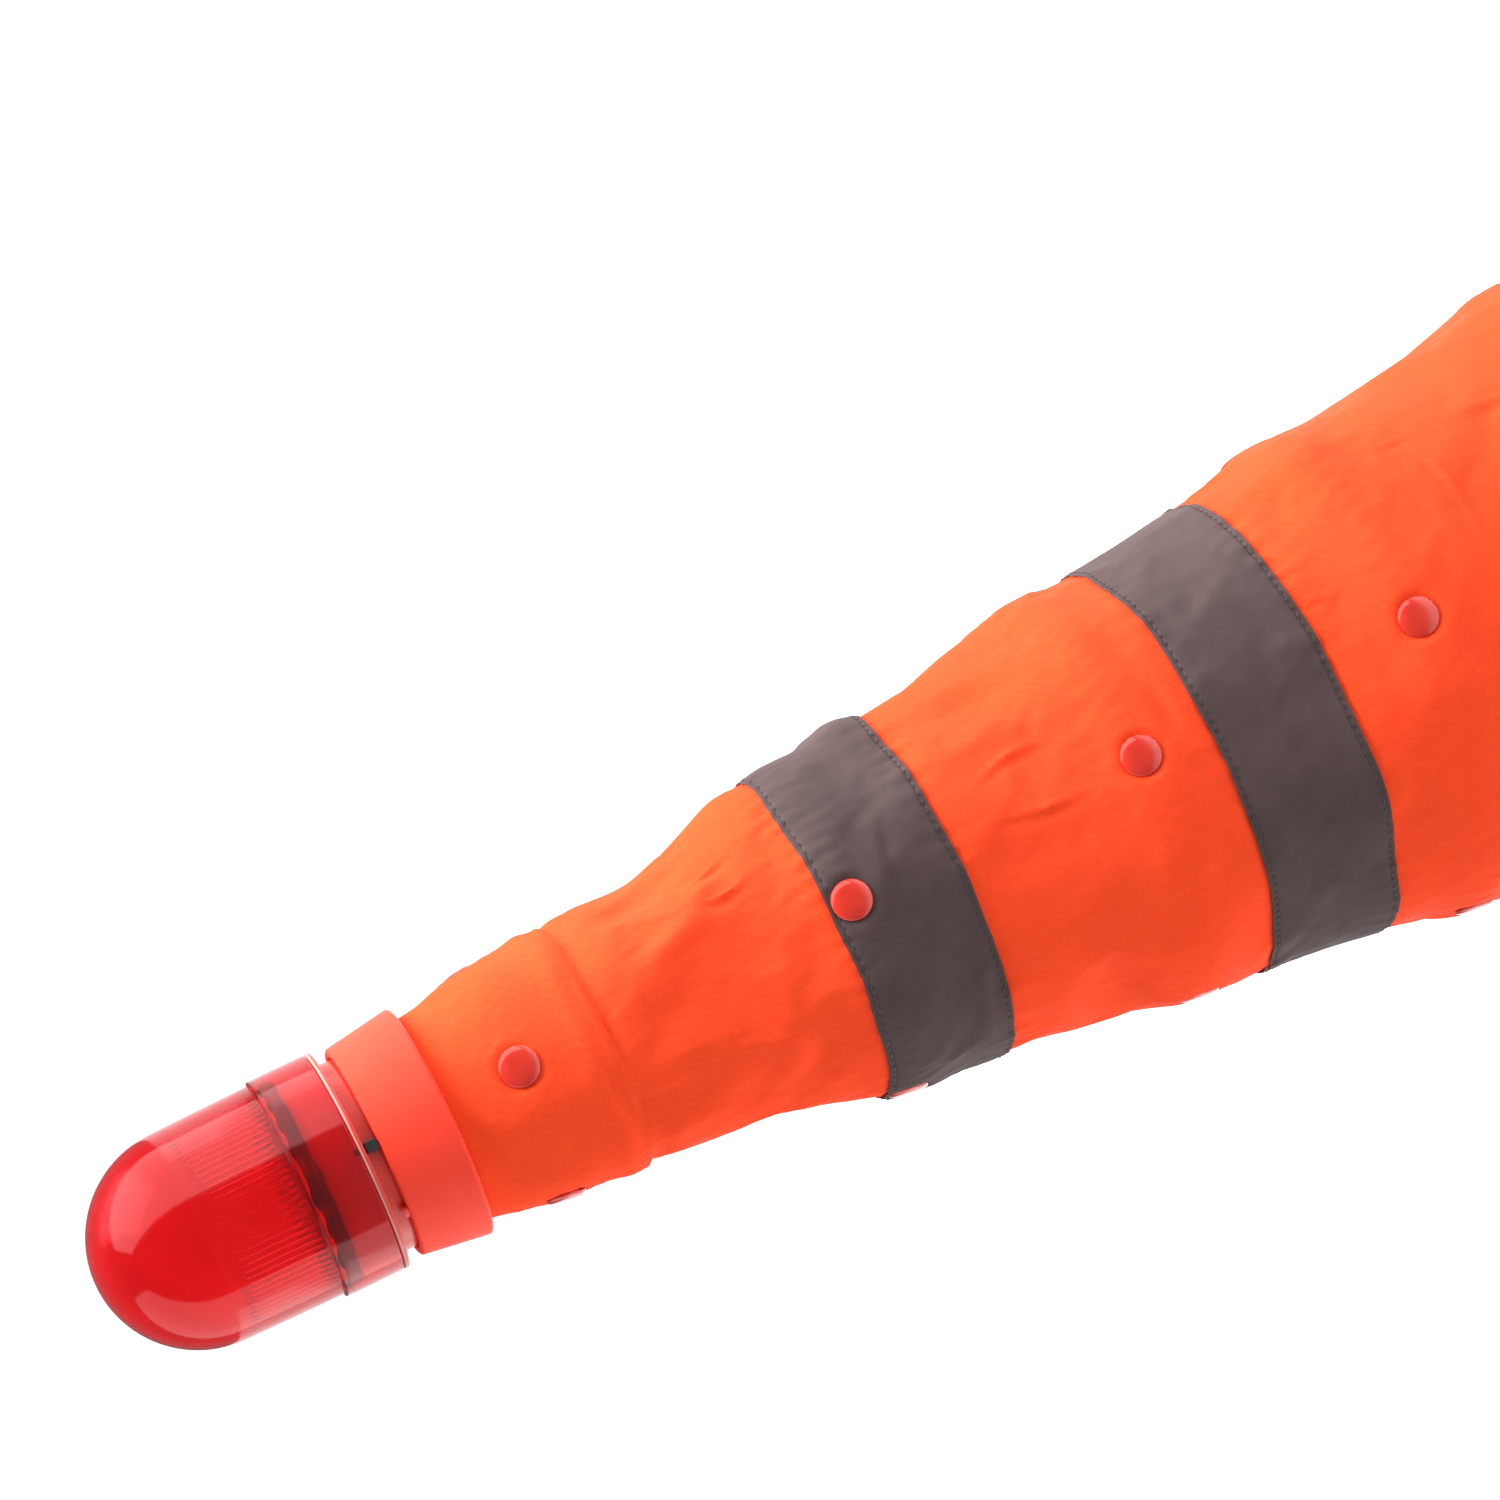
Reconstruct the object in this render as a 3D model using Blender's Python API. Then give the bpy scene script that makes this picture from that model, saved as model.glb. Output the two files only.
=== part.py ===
"""A pop-up traffic cone: a fabric cone on hoops, a square base, and a red lamp on its tip.

Metres, +Z up. The origin is the centre of the base, on the surface that the feet stand on.
The cone is modelled standing open. It folds down into the base along Z.
"""

import math

import bmesh
import bpy
from mathutils import Matrix, Vector

# Driving dimensions.
GAP = 0.0003  # between pieces that touch
CONE_SLOPE = 0.145  # radius gained per metre down the cone
COLLAR_BOTTOM_Z = 0.595
COLLAR_TOP_Z = 0.6161
RADIUS_AT_COLLAR = 0.0305
CLOTH = 0.0008  # cover thickness
TAPE = 0.0005  # reflective band thickness

COVER_BOTTOM_Z = 0.0105
SLEEVE_BOTTOM_Z = 0.551  # the folding part of the cover ends here
COVER_TOP_Z = 0.5998
SLEEVE_RIVET_Z = 0.5728
HOOP_Z = [0.4724, 0.3845, 0.2995, 0.2125, 0.1255]
RIVET_TURNS = [math.radians(a) for a in (-80, 10, 100, 190)]
BAND_HEIGHT = 0.038
BAND_CENTRE_Z = {"band_upper": 0.4603, "band_lower": 0.3455}

HOOP_HEIGHT = 0.006
HOOP_WALL = 0.003
SLEEVE_WALL = 0.002

RIVET_HEAD_R = 0.00585
RIVET_HEAD_HEIGHT = 0.0021
RIVET_SHANK_R = 0.0019
RIVET_TAIL_R = 0.003
RIVET_TAIL_HEIGHT = 0.0008
RIVET_TAIL_GAP = 0.0005

BASE_HALF = 0.142
BASE_CORNER = 0.036
BASE_TOP_Z = 0.036
FLOOR_Z = 0.010
RECESS_R = 0.118
SHELL = 0.0025
PLATE_BOTTOM_Z = 0.0045
PLATE_TOP_Z = 0.0070
FOOT_R = 0.010
FOOT_AT = 0.108
SCREW_AT = 0.130

SPRING_WIRE_R = 0.0011
SPRING_TURNS = 8
SPRING_INSET = 0.0075  # from the cover's outer face to the wire's centre

LAMP_RIM_R = 0.03275
LAMP_PLATE_Z = (0.6204, 0.6219)
LENS_BOTTOM_Z = 0.6222
LENS_STEP_Z = 0.6395
LENS_CENTRE_Z = 0.6688  # centre of the dome
LENS_DOME_R = 0.0312
LENS_WALL = 0.0016
CELL_R = 0.00525
CELL_LENGTH = 0.0445
SWITCH_TURN = math.radians(-83)
SWITCH_TRAVEL = 0.002


def cone_radius(z):
    """Outer radius of the cover at height z."""
    return RADIUS_AT_COLLAR + CONE_SLOPE * (COLLAR_BOTTOM_Z - z)


def material(name, colour, roughness, metallic=0.0, transmission=0.0):
    made = bpy.data.materials.new(name)
    made.use_nodes = True
    shader = made.node_tree.nodes["Principled BSDF"]
    shader.inputs["Base Color"].default_value = (*colour, 1.0)
    shader.inputs["Roughness"].default_value = roughness
    shader.inputs["Metallic"].default_value = metallic
    shader.inputs["Transmission Weight"].default_value = transmission
    return made


def add_object(name, mesh, finish, sharp=35):
    """Links a mesh to the scene as one named sub-part with smooth shading."""
    part = bpy.data.objects.new(name, mesh)
    bpy.context.scene.collection.objects.link(part)
    mesh.shade_smooth()
    mesh.set_sharp_from_angle(angle=math.radians(sharp))
    if finish:
        mesh.materials.append(finish)
    return part


def finish_mesh(name, bm):
    bmesh.ops.recalc_face_normals(bm, faces=bm.faces)
    mesh = bpy.data.meshes.new(name)
    bm.to_mesh(mesh)
    bm.free()
    return mesh


def circle(radius, z, count):
    """Points on a circle round the Z axis, or the one point on the axis."""
    if radius == 0:
        return [Vector((0, 0, z))]
    turns = [2 * math.pi * i / count for i in range(count)]
    return [Vector((radius * math.cos(t), radius * math.sin(t), z)) for t in turns]


def rounded_square(half, corner, z, count):
    """Points round a square with round corners, one on each of count equal turns."""
    points = []
    inner = half - corner
    for i in range(count):
        turn = 2 * math.pi * i / count
        c = abs(math.cos(turn))
        s = abs(math.sin(turn))
        reach = half / max(c, s)
        if reach * min(c, s) > inner:
            along = inner * (c + s)
            reach = along + math.sqrt(along**2 - 2 * inner**2 + corner**2)
        points.append(Vector((reach * math.cos(turn), reach * math.sin(turn), z)))
    return points


def loft(loops):
    """A closed mesh through loops of points. One-point loops end it, or else it joins up."""
    bm = bmesh.new()
    rings = [[bm.verts.new(p) for p in loop] for loop in loops]
    joins = list(zip(rings, rings[1:]))
    if len(rings[0]) > 1 and len(rings[-1]) > 1:
        joins.append((rings[-1], rings[0]))
    for a, b in joins:
        count = max(len(a), len(b))
        for i in range(count):
            j = (i + 1) % count
            corners = [a[i % len(a)], a[j % len(a)], b[j % len(b)], b[i % len(b)]]
            bm.faces.new(list(dict.fromkeys(corners)))
    return bm


def turned(name, profile, finish, count=40, sharp=35):
    """A body turned round Z from a profile of (radius, z) points."""
    bm = loft([circle(r, z, count) for r, z in profile])
    return add_object(name, finish_mesh(name, bm), finish, sharp)


def arc(centre, radius, start, end, steps):
    """Profile points on an arc, with its angles in degrees."""
    turns = [math.radians(start + (end - start) * i / steps) for i in range(steps + 1)]
    return [(centre[0] + radius * math.cos(t), centre[1] + radius * math.sin(t)) for t in turns]


def bar_tool(name, ends, radius, count=16):
    """A guide of separate bars, for drilling or for joining on to another part."""
    bm = bmesh.new()
    for start, end in ends:
        run = end - start
        spin = run.to_track_quat("Z", "Y").to_matrix().to_4x4()
        place = Matrix.Translation((start + end) / 2) @ spin
        bmesh.ops.create_cone(
            bm, cap_ends=True, segments=count, radius1=radius, radius2=radius, depth=run.length, matrix=place
        )
    return hide(add_object(name, finish_mesh(name, bm), None))


def box_tool(name, centre, size, turn=0.0):
    """A guide of one box, turned about Z."""
    bm = bmesh.new()
    bmesh.ops.create_cube(bm, size=1.0, matrix=Matrix.Diagonal((*size, 1)))
    place = Matrix.Translation(centre) @ Matrix.Rotation(turn, 4, "Z")
    bmesh.ops.transform(bm, matrix=place, verts=bm.verts)
    return hide(add_object(name, finish_mesh(name, bm), None))


def hide(guide):
    guide.hide_render = True
    guide.display_type = "WIRE"
    return guide


def combine(part, guide, operation):
    change = part.modifiers.new(guide.name, "BOOLEAN")
    change.operation = operation
    change.object = guide


def surface_frame(z, turn):
    """A point on the cone's outer face and the way straight out of it."""
    radius = cone_radius(z)
    point = Vector((radius * math.cos(turn), radius * math.sin(turn), z))
    outward = Vector((math.cos(turn), math.sin(turn), CONE_SLOPE)).normalized()
    return point, outward


def drill_rivet_holes(part, heights):
    """Cuts the rivets' holes through a part of the cone's wall."""
    reach = 0.006
    ends = []
    for z in heights:
        for turn in RIVET_TURNS:
            point, outward = surface_frame(z, turn)
            ends.append((point - reach * outward, point + reach * outward))
    combine(part, bar_tool(f"{part.name}_holes", ends, RIVET_SHANK_R + GAP, 8), "DIFFERENCE")


def cone_shell(name, low, high, outset, thickness, rows, finish, count=40):
    """A thin conical shell that lies outset from the cover's outer face."""
    heights = [low + (high - low) * i / rows for i in range(rows + 1)]
    outer = [(cone_radius(z) + outset, z) for z in heights]
    inner = [(r - thickness, z) for r, z in reversed(outer)]
    return turned(name, outer + inner, finish, count, sharp=60)


def make_cover(finish):
    cover = cone_shell("cone_cover", COVER_BOTTOM_Z, SLEEVE_BOTTOM_Z - GAP, 0, CLOTH, 5, finish)
    drill_rivet_holes(cover, HOOP_Z)
    top = cone_shell("cover_top", SLEEVE_BOTTOM_Z, COVER_TOP_Z, 0, CLOTH, 2, finish)
    drill_rivet_holes(top, [SLEEVE_RIVET_Z])


def make_bands(finish):
    for name, centre in BAND_CENTRE_Z.items():
        low = centre - BAND_HEIGHT / 2
        high = centre + BAND_HEIGHT / 2
        band = cone_shell(name, low, high, GAP + TAPE, TAPE, 1, finish)
        covered = [z for z in HOOP_Z if low < z < high]
        if covered:
            drill_rivet_holes(band, covered)


def make_hoop(name, z, finish):
    """A flat hoop inside the cover, whose wall leans with the cone."""
    low = z - HOOP_HEIGHT / 2
    high = z + HOOP_HEIGHT / 2
    hoop = cone_shell(name, low, high, -CLOTH - GAP, HOOP_WALL, 1, finish)
    drill_rivet_holes(hoop, [z])


def rivet_mesh(wall, seat, finish):
    """A rivet on +Z: a low domed head on a seat, a shank through wall, and a flared tail."""
    bevel = 0.0005
    tail_top = -wall - RIVET_TAIL_GAP
    profile = [
        (0, seat + RIVET_HEAD_HEIGHT),
        (RIVET_HEAD_R * 0.6, seat + RIVET_HEAD_HEIGHT * 0.9),
        (RIVET_HEAD_R, seat + RIVET_HEAD_HEIGHT * 0.4),
        (RIVET_HEAD_R - bevel, seat),
        (RIVET_SHANK_R, seat),
        (RIVET_SHANK_R, tail_top),
        (RIVET_TAIL_R, tail_top),
        (RIVET_TAIL_R, tail_top - RIVET_TAIL_HEIGHT),
        (0, tail_top - RIVET_TAIL_HEIGHT),
    ]
    mesh = finish_mesh("rivet", loft([circle(r, z, 8) for r, z in profile]))
    mesh.materials.append(finish)
    mesh.shade_smooth()
    mesh.set_sharp_from_angle(angle=math.radians(50))
    return mesh


def place_rivets(prefix, z, mesh):
    for number, turn in enumerate(RIVET_TURNS, 1):
        point, outward = surface_frame(z, turn)
        rivet = bpy.data.objects.new(f"{prefix}_rivet_{number}", mesh)
        bpy.context.scene.collection.objects.link(rivet)
        rivet.rotation_euler = outward.to_track_quat("Z", "Y").to_euler()
        rivet.location = point


def make_spring(finish):
    """A conical coil spring that stands the cone up, from the base's floor to the sleeve's flange."""
    low = FLOOR_Z + GAP + SPRING_WIRE_R
    high = SLEEVE_BOTTOM_Z - 2 * GAP - SPRING_WIRE_R
    per_turn = 12
    steps = SPRING_TURNS * per_turn
    curve = bpy.data.curves.new("lift_spring", "CURVE")
    curve.dimensions = "3D"
    curve.bevel_depth = SPRING_WIRE_R
    curve.bevel_resolution = 1
    curve.resolution_u = 1
    curve.render_resolution_u = 0
    curve.use_fill_caps = True
    spline = curve.splines.new("POLY")
    spline.points.add(steps)
    for i in range(steps + 1):
        z = low + (high - low) * i / steps
        turn = 2 * math.pi * i / per_turn
        radius = cone_radius(z) - SPRING_INSET
        spline.points[i].co = (radius * math.cos(turn), radius * math.sin(turn), z, 1)
    spring = bpy.data.objects.new("lift_spring", curve)
    curve.materials.append(finish)
    bpy.context.scene.collection.objects.link(spring)


def make_sleeve(finish):
    """The plastic sleeve under the collar that the cover's top is riveted to."""
    top = COVER_TOP_Z
    flange_r = 0.026
    flange = 0.002
    inset = CLOTH + GAP
    low = SLEEVE_BOTTOM_Z
    profile = [
        (cone_radius(low) - inset, low),
        (cone_radius(top) - inset, top),
        (cone_radius(top) - inset - SLEEVE_WALL, top),
        (cone_radius(low + flange) - inset - SLEEVE_WALL, low + flange),
        (flange_r, low + flange),
        (flange_r, low),
    ]
    sleeve = turned("sleeve", profile, finish)
    drill_rivet_holes(sleeve, [SLEEVE_RIVET_Z])


def make_collar(finish):
    """The tapered ring at the cone's tip. Its shelf carries the lamp's spigot."""
    bottom_r = 0.0345
    top_r = 0.0315
    socket_r = 0.0290
    shelf_r = 0.022
    shelf_z = (0.6003, 0.6035)
    edge = 0.0012
    profile = [
        (bottom_r - edge, COLLAR_BOTTOM_Z),
        (bottom_r - 0.3 * edge, COLLAR_BOTTOM_Z + 0.3 * edge),
        (bottom_r, COLLAR_BOTTOM_Z + edge),
        (top_r, COLLAR_TOP_Z - 0.8 * edge),
        (top_r - 0.3 * edge, COLLAR_TOP_Z - 0.2 * edge),
        (top_r - edge, COLLAR_TOP_Z),
        (socket_r, COLLAR_TOP_Z),
        (socket_r, shelf_z[1]),
        (shelf_r, shelf_z[1]),
        (shelf_r, shelf_z[0]),
        (0.0310, shelf_z[0]),
        (0.0316, COLLAR_BOTTOM_Z),
    ]
    collar = turned("collar", profile, finish)
    lug_turn = math.radians(-124)
    lug_r = 0.0301
    lug = (0.0016, 0.0030, 0.0032)
    centre = (lug_r * math.cos(lug_turn), lug_r * math.sin(lug_turn), COLLAR_TOP_Z)
    combine(collar, box_tool("collar_lug", centre, lug, lug_turn), "UNION")


def make_lamp_base(finish):
    """The lamp's round plate with the spigot that plugs into the collar."""
    low, high = LAMP_PLATE_Z
    spigot = (0.0285, 0.0265)
    spigot_z = 0.6040
    edge = 0.0005
    profile = [
        (0, high),
        (LAMP_RIM_R - edge, high),
        (LAMP_RIM_R, high - edge),
        (LAMP_RIM_R, low + edge),
        (LAMP_RIM_R - edge, low),
        (spigot[0], low),
        (spigot[0] - edge, spigot_z),
        (spigot[1] - edge, spigot_z),
        (spigot[1], low),
        (0, low),
    ]
    plate = turned("lamp_base", profile, finish)
    slot_r = 0.0298
    slot = (0.0020, 0.0020 + SWITCH_TRAVEL + 2 * GAP, 0.006)
    side = Vector((-math.sin(SWITCH_TURN), math.cos(SWITCH_TURN), 0))
    out = Vector((math.cos(SWITCH_TURN), math.sin(SWITCH_TURN), 0))
    centre = slot_r * out + side * SWITCH_TRAVEL / 2 + Vector((0, 0, (low + high) / 2))
    combine(plate, box_tool("switch_slot", centre, slot, SWITCH_TURN), "DIFFERENCE")


def make_switch(finish):
    """The slider: a nub under the lamp's rim and a stem up through the slot."""
    out = Vector((math.cos(SWITCH_TURN), math.sin(SWITCH_TURN), 0))
    nub_height = 0.0036
    top = LAMP_PLATE_Z[0] - GAP
    bm = bmesh.new()
    bmesh.ops.create_cube(bm, size=1.0, matrix=Matrix.Diagonal((0.0027, 0.0032, nub_height, 1)))
    bmesh.ops.bevel(bm, geom=bm.edges[:], offset=0.0003, segments=1, affect="EDGES")
    place = Matrix.Translation(0.03025 * out + Vector((0, 0, top - nub_height / 2)))
    bmesh.ops.transform(bm, matrix=place @ Matrix.Rotation(SWITCH_TURN, 4, "Z"), verts=bm.verts)
    switch = add_object("switch_slider", finish_mesh("switch_slider", bm), finish)
    stem_height = 0.0040
    centre = 0.0298 * out + Vector((0, 0, top - 0.0008 + stem_height / 2))
    stem = box_tool("switch_stem", centre, (0.0012, 0.0018, stem_height), SWITCH_TURN)
    combine(switch, stem, "UNION")


def make_lens(finish):
    """The red lens: a domed shell with a straight wall, a step and a wider skirt."""
    steps = 6
    wall_r = LENS_DOME_R + 0.0005
    edge = 0.0005
    outer = arc((0, LENS_CENTRE_Z), LENS_DOME_R, 90, 0, steps)
    outer[0] = (0, LENS_CENTRE_Z + LENS_DOME_R)
    outer += [
        (wall_r, LENS_STEP_Z + edge),
        (LAMP_RIM_R - edge, LENS_STEP_Z),
        (LAMP_RIM_R, LENS_STEP_Z - edge),
        (LAMP_RIM_R, LENS_BOTTOM_Z),
    ]
    skirt_inner = LAMP_RIM_R - LENS_WALL - 0.0002
    inner_dome = LENS_DOME_R - LENS_WALL
    inner = [
        (skirt_inner, LENS_BOTTOM_Z),
        (skirt_inner, LENS_STEP_Z - LENS_WALL),
        (wall_r - LENS_WALL, LENS_STEP_Z - 0.0004),
    ]
    inner += arc((0, LENS_CENTRE_Z), inner_dome, 0, 90, steps - 1)
    inner[-1] = (0, LENS_CENTRE_Z + inner_dome)
    turned("lens", outer + inner, finish, 32)


def make_gasket(finish):
    low = 0.6350
    high = 0.6375
    turned("lens_gasket", [(0.0306, low), (0.0306, high), (0.0291, high), (0.0291, low)], finish, 32)


def make_battery_case(finish):
    """A round case with two open bays that hold the cells lying down."""
    low = LAMP_PLATE_Z[1] + GAP
    high = 0.6360
    radius = 0.0280
    profile = [(0, high), (radius, high), (radius, low), (0, low)]
    case = turned("battery_case", profile, finish, 40)
    floor = low + 0.0018
    bay = (CELL_LENGTH + 0.001, 2 * CELL_R + 0.0006, high - floor + 0.002)
    for number, side in enumerate((-1, 1), 1):
        centre = (0, side * (CELL_R + 0.0008), floor + bay[2] / 2)
        combine(case, box_tool(f"bay_{number}", centre, bay), "DIFFERENCE")
    return floor


def make_cells(floor, finish):
    """Two AAA cells, each with its button end."""
    half = CELL_LENGTH / 2
    button_r = 0.0019
    button = 0.0010
    edge = 0.0004
    profile = [
        (0, half),
        (button_r, half),
        (button_r, half - button),
        (CELL_R - edge, half - button),
        (CELL_R, half - button - edge),
        (CELL_R, edge - half),
        (CELL_R - edge, -half),
        (0, -half),
    ]
    for number, side in enumerate((-1, 1), 1):
        cell = turned(f"cell_{number}", profile, finish, 16)
        cell.rotation_euler = (0, side * math.pi / 2, 0)
        cell.location = (0, side * (CELL_R + 0.0008), floor + GAP + CELL_R)


def make_light(board_finish, led_finish):
    """The round circuit board and the lights on it."""
    low = 0.6363
    high = 0.6379
    radius = 0.027
    turned("led_board", [(0, high), (radius, high), (radius, low), (0, low)], board_finish, 40)
    led_r = 0.0025
    flange_r = 0.0029
    body = 0.0045
    led_z = high + GAP
    profile = [(0, led_z + body + led_r)] + arc((0, led_z + body), led_r, 67.5, 0, 3)
    profile += [(led_r, led_z + 0.001), (flange_r, led_z + 0.001), (flange_r, led_z), (0, led_z)]
    for number in range(3):
        turn = 2 * math.pi * number / 3
        led = turned(f"led_{number + 1}", profile, led_finish, 12)
        led.location = (0.011 * math.cos(turn), 0.011 * math.sin(turn), 0)


def make_tray(finish):
    """The base's moulded shell: a square skirt, a flat rim, a round recess and a thin floor."""
    count = 56
    top_half = BASE_HALF - 0.004
    lip = 0.0015
    loops = [
        circle(0, FLOOR_Z, count),
        circle(RECESS_R - lip, FLOOR_Z, count),
        circle(RECESS_R, FLOOR_Z + lip, count),
        circle(RECESS_R + 0.0005, BASE_TOP_Z - lip, count),
        circle(RECESS_R + 0.0005 + lip, BASE_TOP_Z, count),
        rounded_square(top_half - 0.002, BASE_CORNER - 0.006, BASE_TOP_Z, count),
        rounded_square(top_half - 0.0006, BASE_CORNER - 0.0046, BASE_TOP_Z - 0.0006, count),
        rounded_square(top_half, BASE_CORNER - 0.004, BASE_TOP_Z - 0.002, count),
        rounded_square(BASE_HALF, BASE_CORNER, PLATE_BOTTOM_Z - GAP, count),
        rounded_square(BASE_HALF - SHELL, BASE_CORNER - SHELL, PLATE_BOTTOM_Z - GAP, count),
        rounded_square(top_half - SHELL, BASE_CORNER - 0.0065, BASE_TOP_Z - SHELL, count),
        circle(RECESS_R + SHELL + 0.0005, BASE_TOP_Z - SHELL, count),
        circle(RECESS_R + SHELL, PLATE_TOP_Z + GAP, count),
        circle(0, PLATE_TOP_Z + GAP, count),
    ]
    tray = add_object("base_tray", finish_mesh("base_tray", loft(loops)), finish, 30)
    low = PLATE_TOP_Z + GAP
    posts = [(p + Vector((0, 0, low)), p + Vector((0, 0, BASE_TOP_Z - 0.001))) for p in screw_points()]
    combine(tray, bar_tool("screw_posts", posts, 0.0045), "UNION")
    holes = [(p, p + Vector((0, 0, 0.022))) for p in screw_points()]
    combine(tray, bar_tool("screw_holes", holes, 0.0019), "DIFFERENCE")


def screw_points():
    return [Vector(p) for p in ((SCREW_AT, 0, 0), (0, SCREW_AT, 0), (-SCREW_AT, 0, 0), (0, -SCREW_AT, 0))]


def make_base_plate(finish):
    count = 56
    half = BASE_HALF - SHELL - 0.0005
    corner = BASE_CORNER - SHELL - 0.0005
    loops = [
        circle(0, PLATE_TOP_Z, count),
        rounded_square(half, corner, PLATE_TOP_Z, count),
        rounded_square(half, corner, PLATE_BOTTOM_Z, count),
        circle(0, PLATE_BOTTOM_Z, count),
    ]
    plate = add_object("base_plate", finish_mesh("base_plate", loft(loops)), finish, 30)
    ends = [(p, p + Vector((0, 0, 0.010))) for p in screw_points()]
    combine(plate, bar_tool("plate_holes", ends, 0.0020), "DIFFERENCE")


def make_screws(finish):
    """Pan-head screws that hold the plate under the tray."""
    head_r = 0.0036
    shank_r = 0.0015
    low = 0.0022
    seat = PLATE_BOTTOM_Z - GAP
    tip = 0.0190
    profile = [(0, tip), (0.0007, tip - 0.0008), (shank_r, tip - 0.003), (shank_r, seat), (head_r, seat)]
    profile += [(head_r, low + 0.0008), (head_r - 0.0008, low), (0, low)]
    for number, point in enumerate(screw_points(), 1):
        screw = turned(f"base_screw_{number}", profile, finish, 12)
        screw.location = point


def make_feet(finish):
    top = PLATE_BOTTOM_Z - GAP
    edge = 0.0008
    profile = [(0, top), (FOOT_R, top), (FOOT_R, edge), (FOOT_R - edge, 0), (0, 0)]
    for number, (x, y) in enumerate(((1, 1), (-1, 1), (-1, -1), (1, -1)), 1):
        foot = turned(f"base_foot_{number}", profile, finish, 24)
        foot.location = (x * FOOT_AT, y * FOOT_AT, 0)


def make_cover_ring(finish):
    """The ring that holds the cover's bottom edge down on the floor."""
    low = FLOOR_Z + GAP
    high = 0.0145
    profile = [(0.1134, low), (0.1130, high), (0.1098, high), (0.1095, low)]
    turned("cover_ring", profile, finish)


def main():
    for old in list(bpy.data.objects):
        bpy.data.objects.remove(old, do_unlink=True)
    cloth = material("orange_cloth", (1.0, 0.14, 0.02), 0.6)
    tape = material("grey_tape", (0.12, 0.085, 0.08), 0.45)
    orange = material("orange_plastic", (1.0, 0.09, 0.03), 0.35)
    coral = material("coral_plastic", (0.85, 0.08, 0.05), 0.15)
    red = material("red_lens", (0.75, 0.01, 0.02), 0.08, transmission=0.7)
    pale = material("pale_plastic", (0.85, 0.35, 0.33), 0.2, transmission=0.4)
    black = material("black_plastic", (0.02, 0.02, 0.022), 0.5)
    nylon = material("white_nylon", (0.75, 0.74, 0.7), 0.45)
    rubber = material("black_rubber", (0.015, 0.015, 0.015), 0.8)
    steel = material("spring_steel", (0.55, 0.56, 0.58), 0.3, metallic=1.0)
    wrap = material("cell_wrap", (0.05, 0.18, 0.12), 0.3)
    green = material("circuit_green", (0.02, 0.2, 0.08), 0.35)
    clear = material("led_clear", (0.9, 0.88, 0.85), 0.1, transmission=0.6)

    make_tray(black)
    make_base_plate(black)
    make_screws(steel)
    make_feet(rubber)
    make_cover_ring(orange)
    make_cover(cloth)
    make_bands(tape)
    make_spring(steel)
    hoop_rivet = rivet_mesh(CLOTH + GAP + HOOP_WALL, 2 * GAP + TAPE, coral)
    for number, z in enumerate(HOOP_Z, 1):
        make_hoop(f"hoop_{number}", z, nylon)
        place_rivets(f"hoop_{number}", z, hoop_rivet)
    make_sleeve(orange)
    place_rivets("sleeve", SLEEVE_RIVET_Z, rivet_mesh(CLOTH + GAP + SLEEVE_WALL, GAP, coral))
    make_collar(orange)
    make_lamp_base(pale)
    make_switch(black)
    make_lens(red)
    make_gasket(rubber)
    make_cells(make_battery_case(black), wrap)
    make_light(green, clear)


main()
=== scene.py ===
"""The looks of the pop-up traffic cone: cloth, tape, stitching, rivets, collar, lamp and base.

Metres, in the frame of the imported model. The cone stands on z = 0 with its lamp up.
"""

import math

import bmesh
import bpy
import numpy as np
from mathutils import Matrix, Vector


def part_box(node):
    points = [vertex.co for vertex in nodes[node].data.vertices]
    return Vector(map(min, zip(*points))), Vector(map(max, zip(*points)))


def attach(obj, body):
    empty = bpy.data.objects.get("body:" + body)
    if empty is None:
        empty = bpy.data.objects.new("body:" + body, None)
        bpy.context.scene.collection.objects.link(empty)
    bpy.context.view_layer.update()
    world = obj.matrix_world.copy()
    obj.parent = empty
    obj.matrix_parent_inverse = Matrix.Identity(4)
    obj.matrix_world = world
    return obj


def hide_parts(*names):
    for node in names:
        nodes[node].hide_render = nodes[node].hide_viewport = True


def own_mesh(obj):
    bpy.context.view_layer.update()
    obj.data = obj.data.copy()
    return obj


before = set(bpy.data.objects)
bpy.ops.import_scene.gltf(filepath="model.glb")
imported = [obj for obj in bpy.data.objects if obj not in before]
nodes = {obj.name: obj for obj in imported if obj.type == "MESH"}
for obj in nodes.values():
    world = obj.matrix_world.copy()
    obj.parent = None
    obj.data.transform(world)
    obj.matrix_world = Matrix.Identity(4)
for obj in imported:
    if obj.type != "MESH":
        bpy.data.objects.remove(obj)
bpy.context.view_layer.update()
scene = bpy.context.scene


# ---------------------------------------------------------------- sizes read from the frame


def low(node):
    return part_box(node)[0]


def high(node):
    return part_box(node)[1]


FOLD_LOW = low("cone_cover").z
FOLD_HIGH = high("cone_cover").z
COVER_TOP = high("cover_top").z
COLLAR_LOW = low("collar").z
SLOPE = (high("cone_cover").x - high("cover_top").x) / (low("cover_top").z - FOLD_LOW)
HOOP_Z = [(low(f"hoop_{k}").z + high(f"hoop_{k}").z) / 2 for k in range(1, 6)]
SLEEVE_RIVET_Z = (low("sleeve_rivet_1").z + high("sleeve_rivet_1").z) / 2
RING_Z = [SLEEVE_RIVET_Z] + HOOP_Z
RIVET_TURNS = [math.radians(a) for a in (-80, 10, 100, 190)]
BANDS = ("band_upper", "band_lower")
SEAM_TURN = math.radians(55)
MM = 0.001
STITCH_INSET = 1.5 * MM
CONE_SHARE = SLOPE / math.sqrt(1 + SLOPE**2)


def cone_radius(z):
    return high("cone_cover").x - SLOPE * (z - FOLD_LOW)


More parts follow.
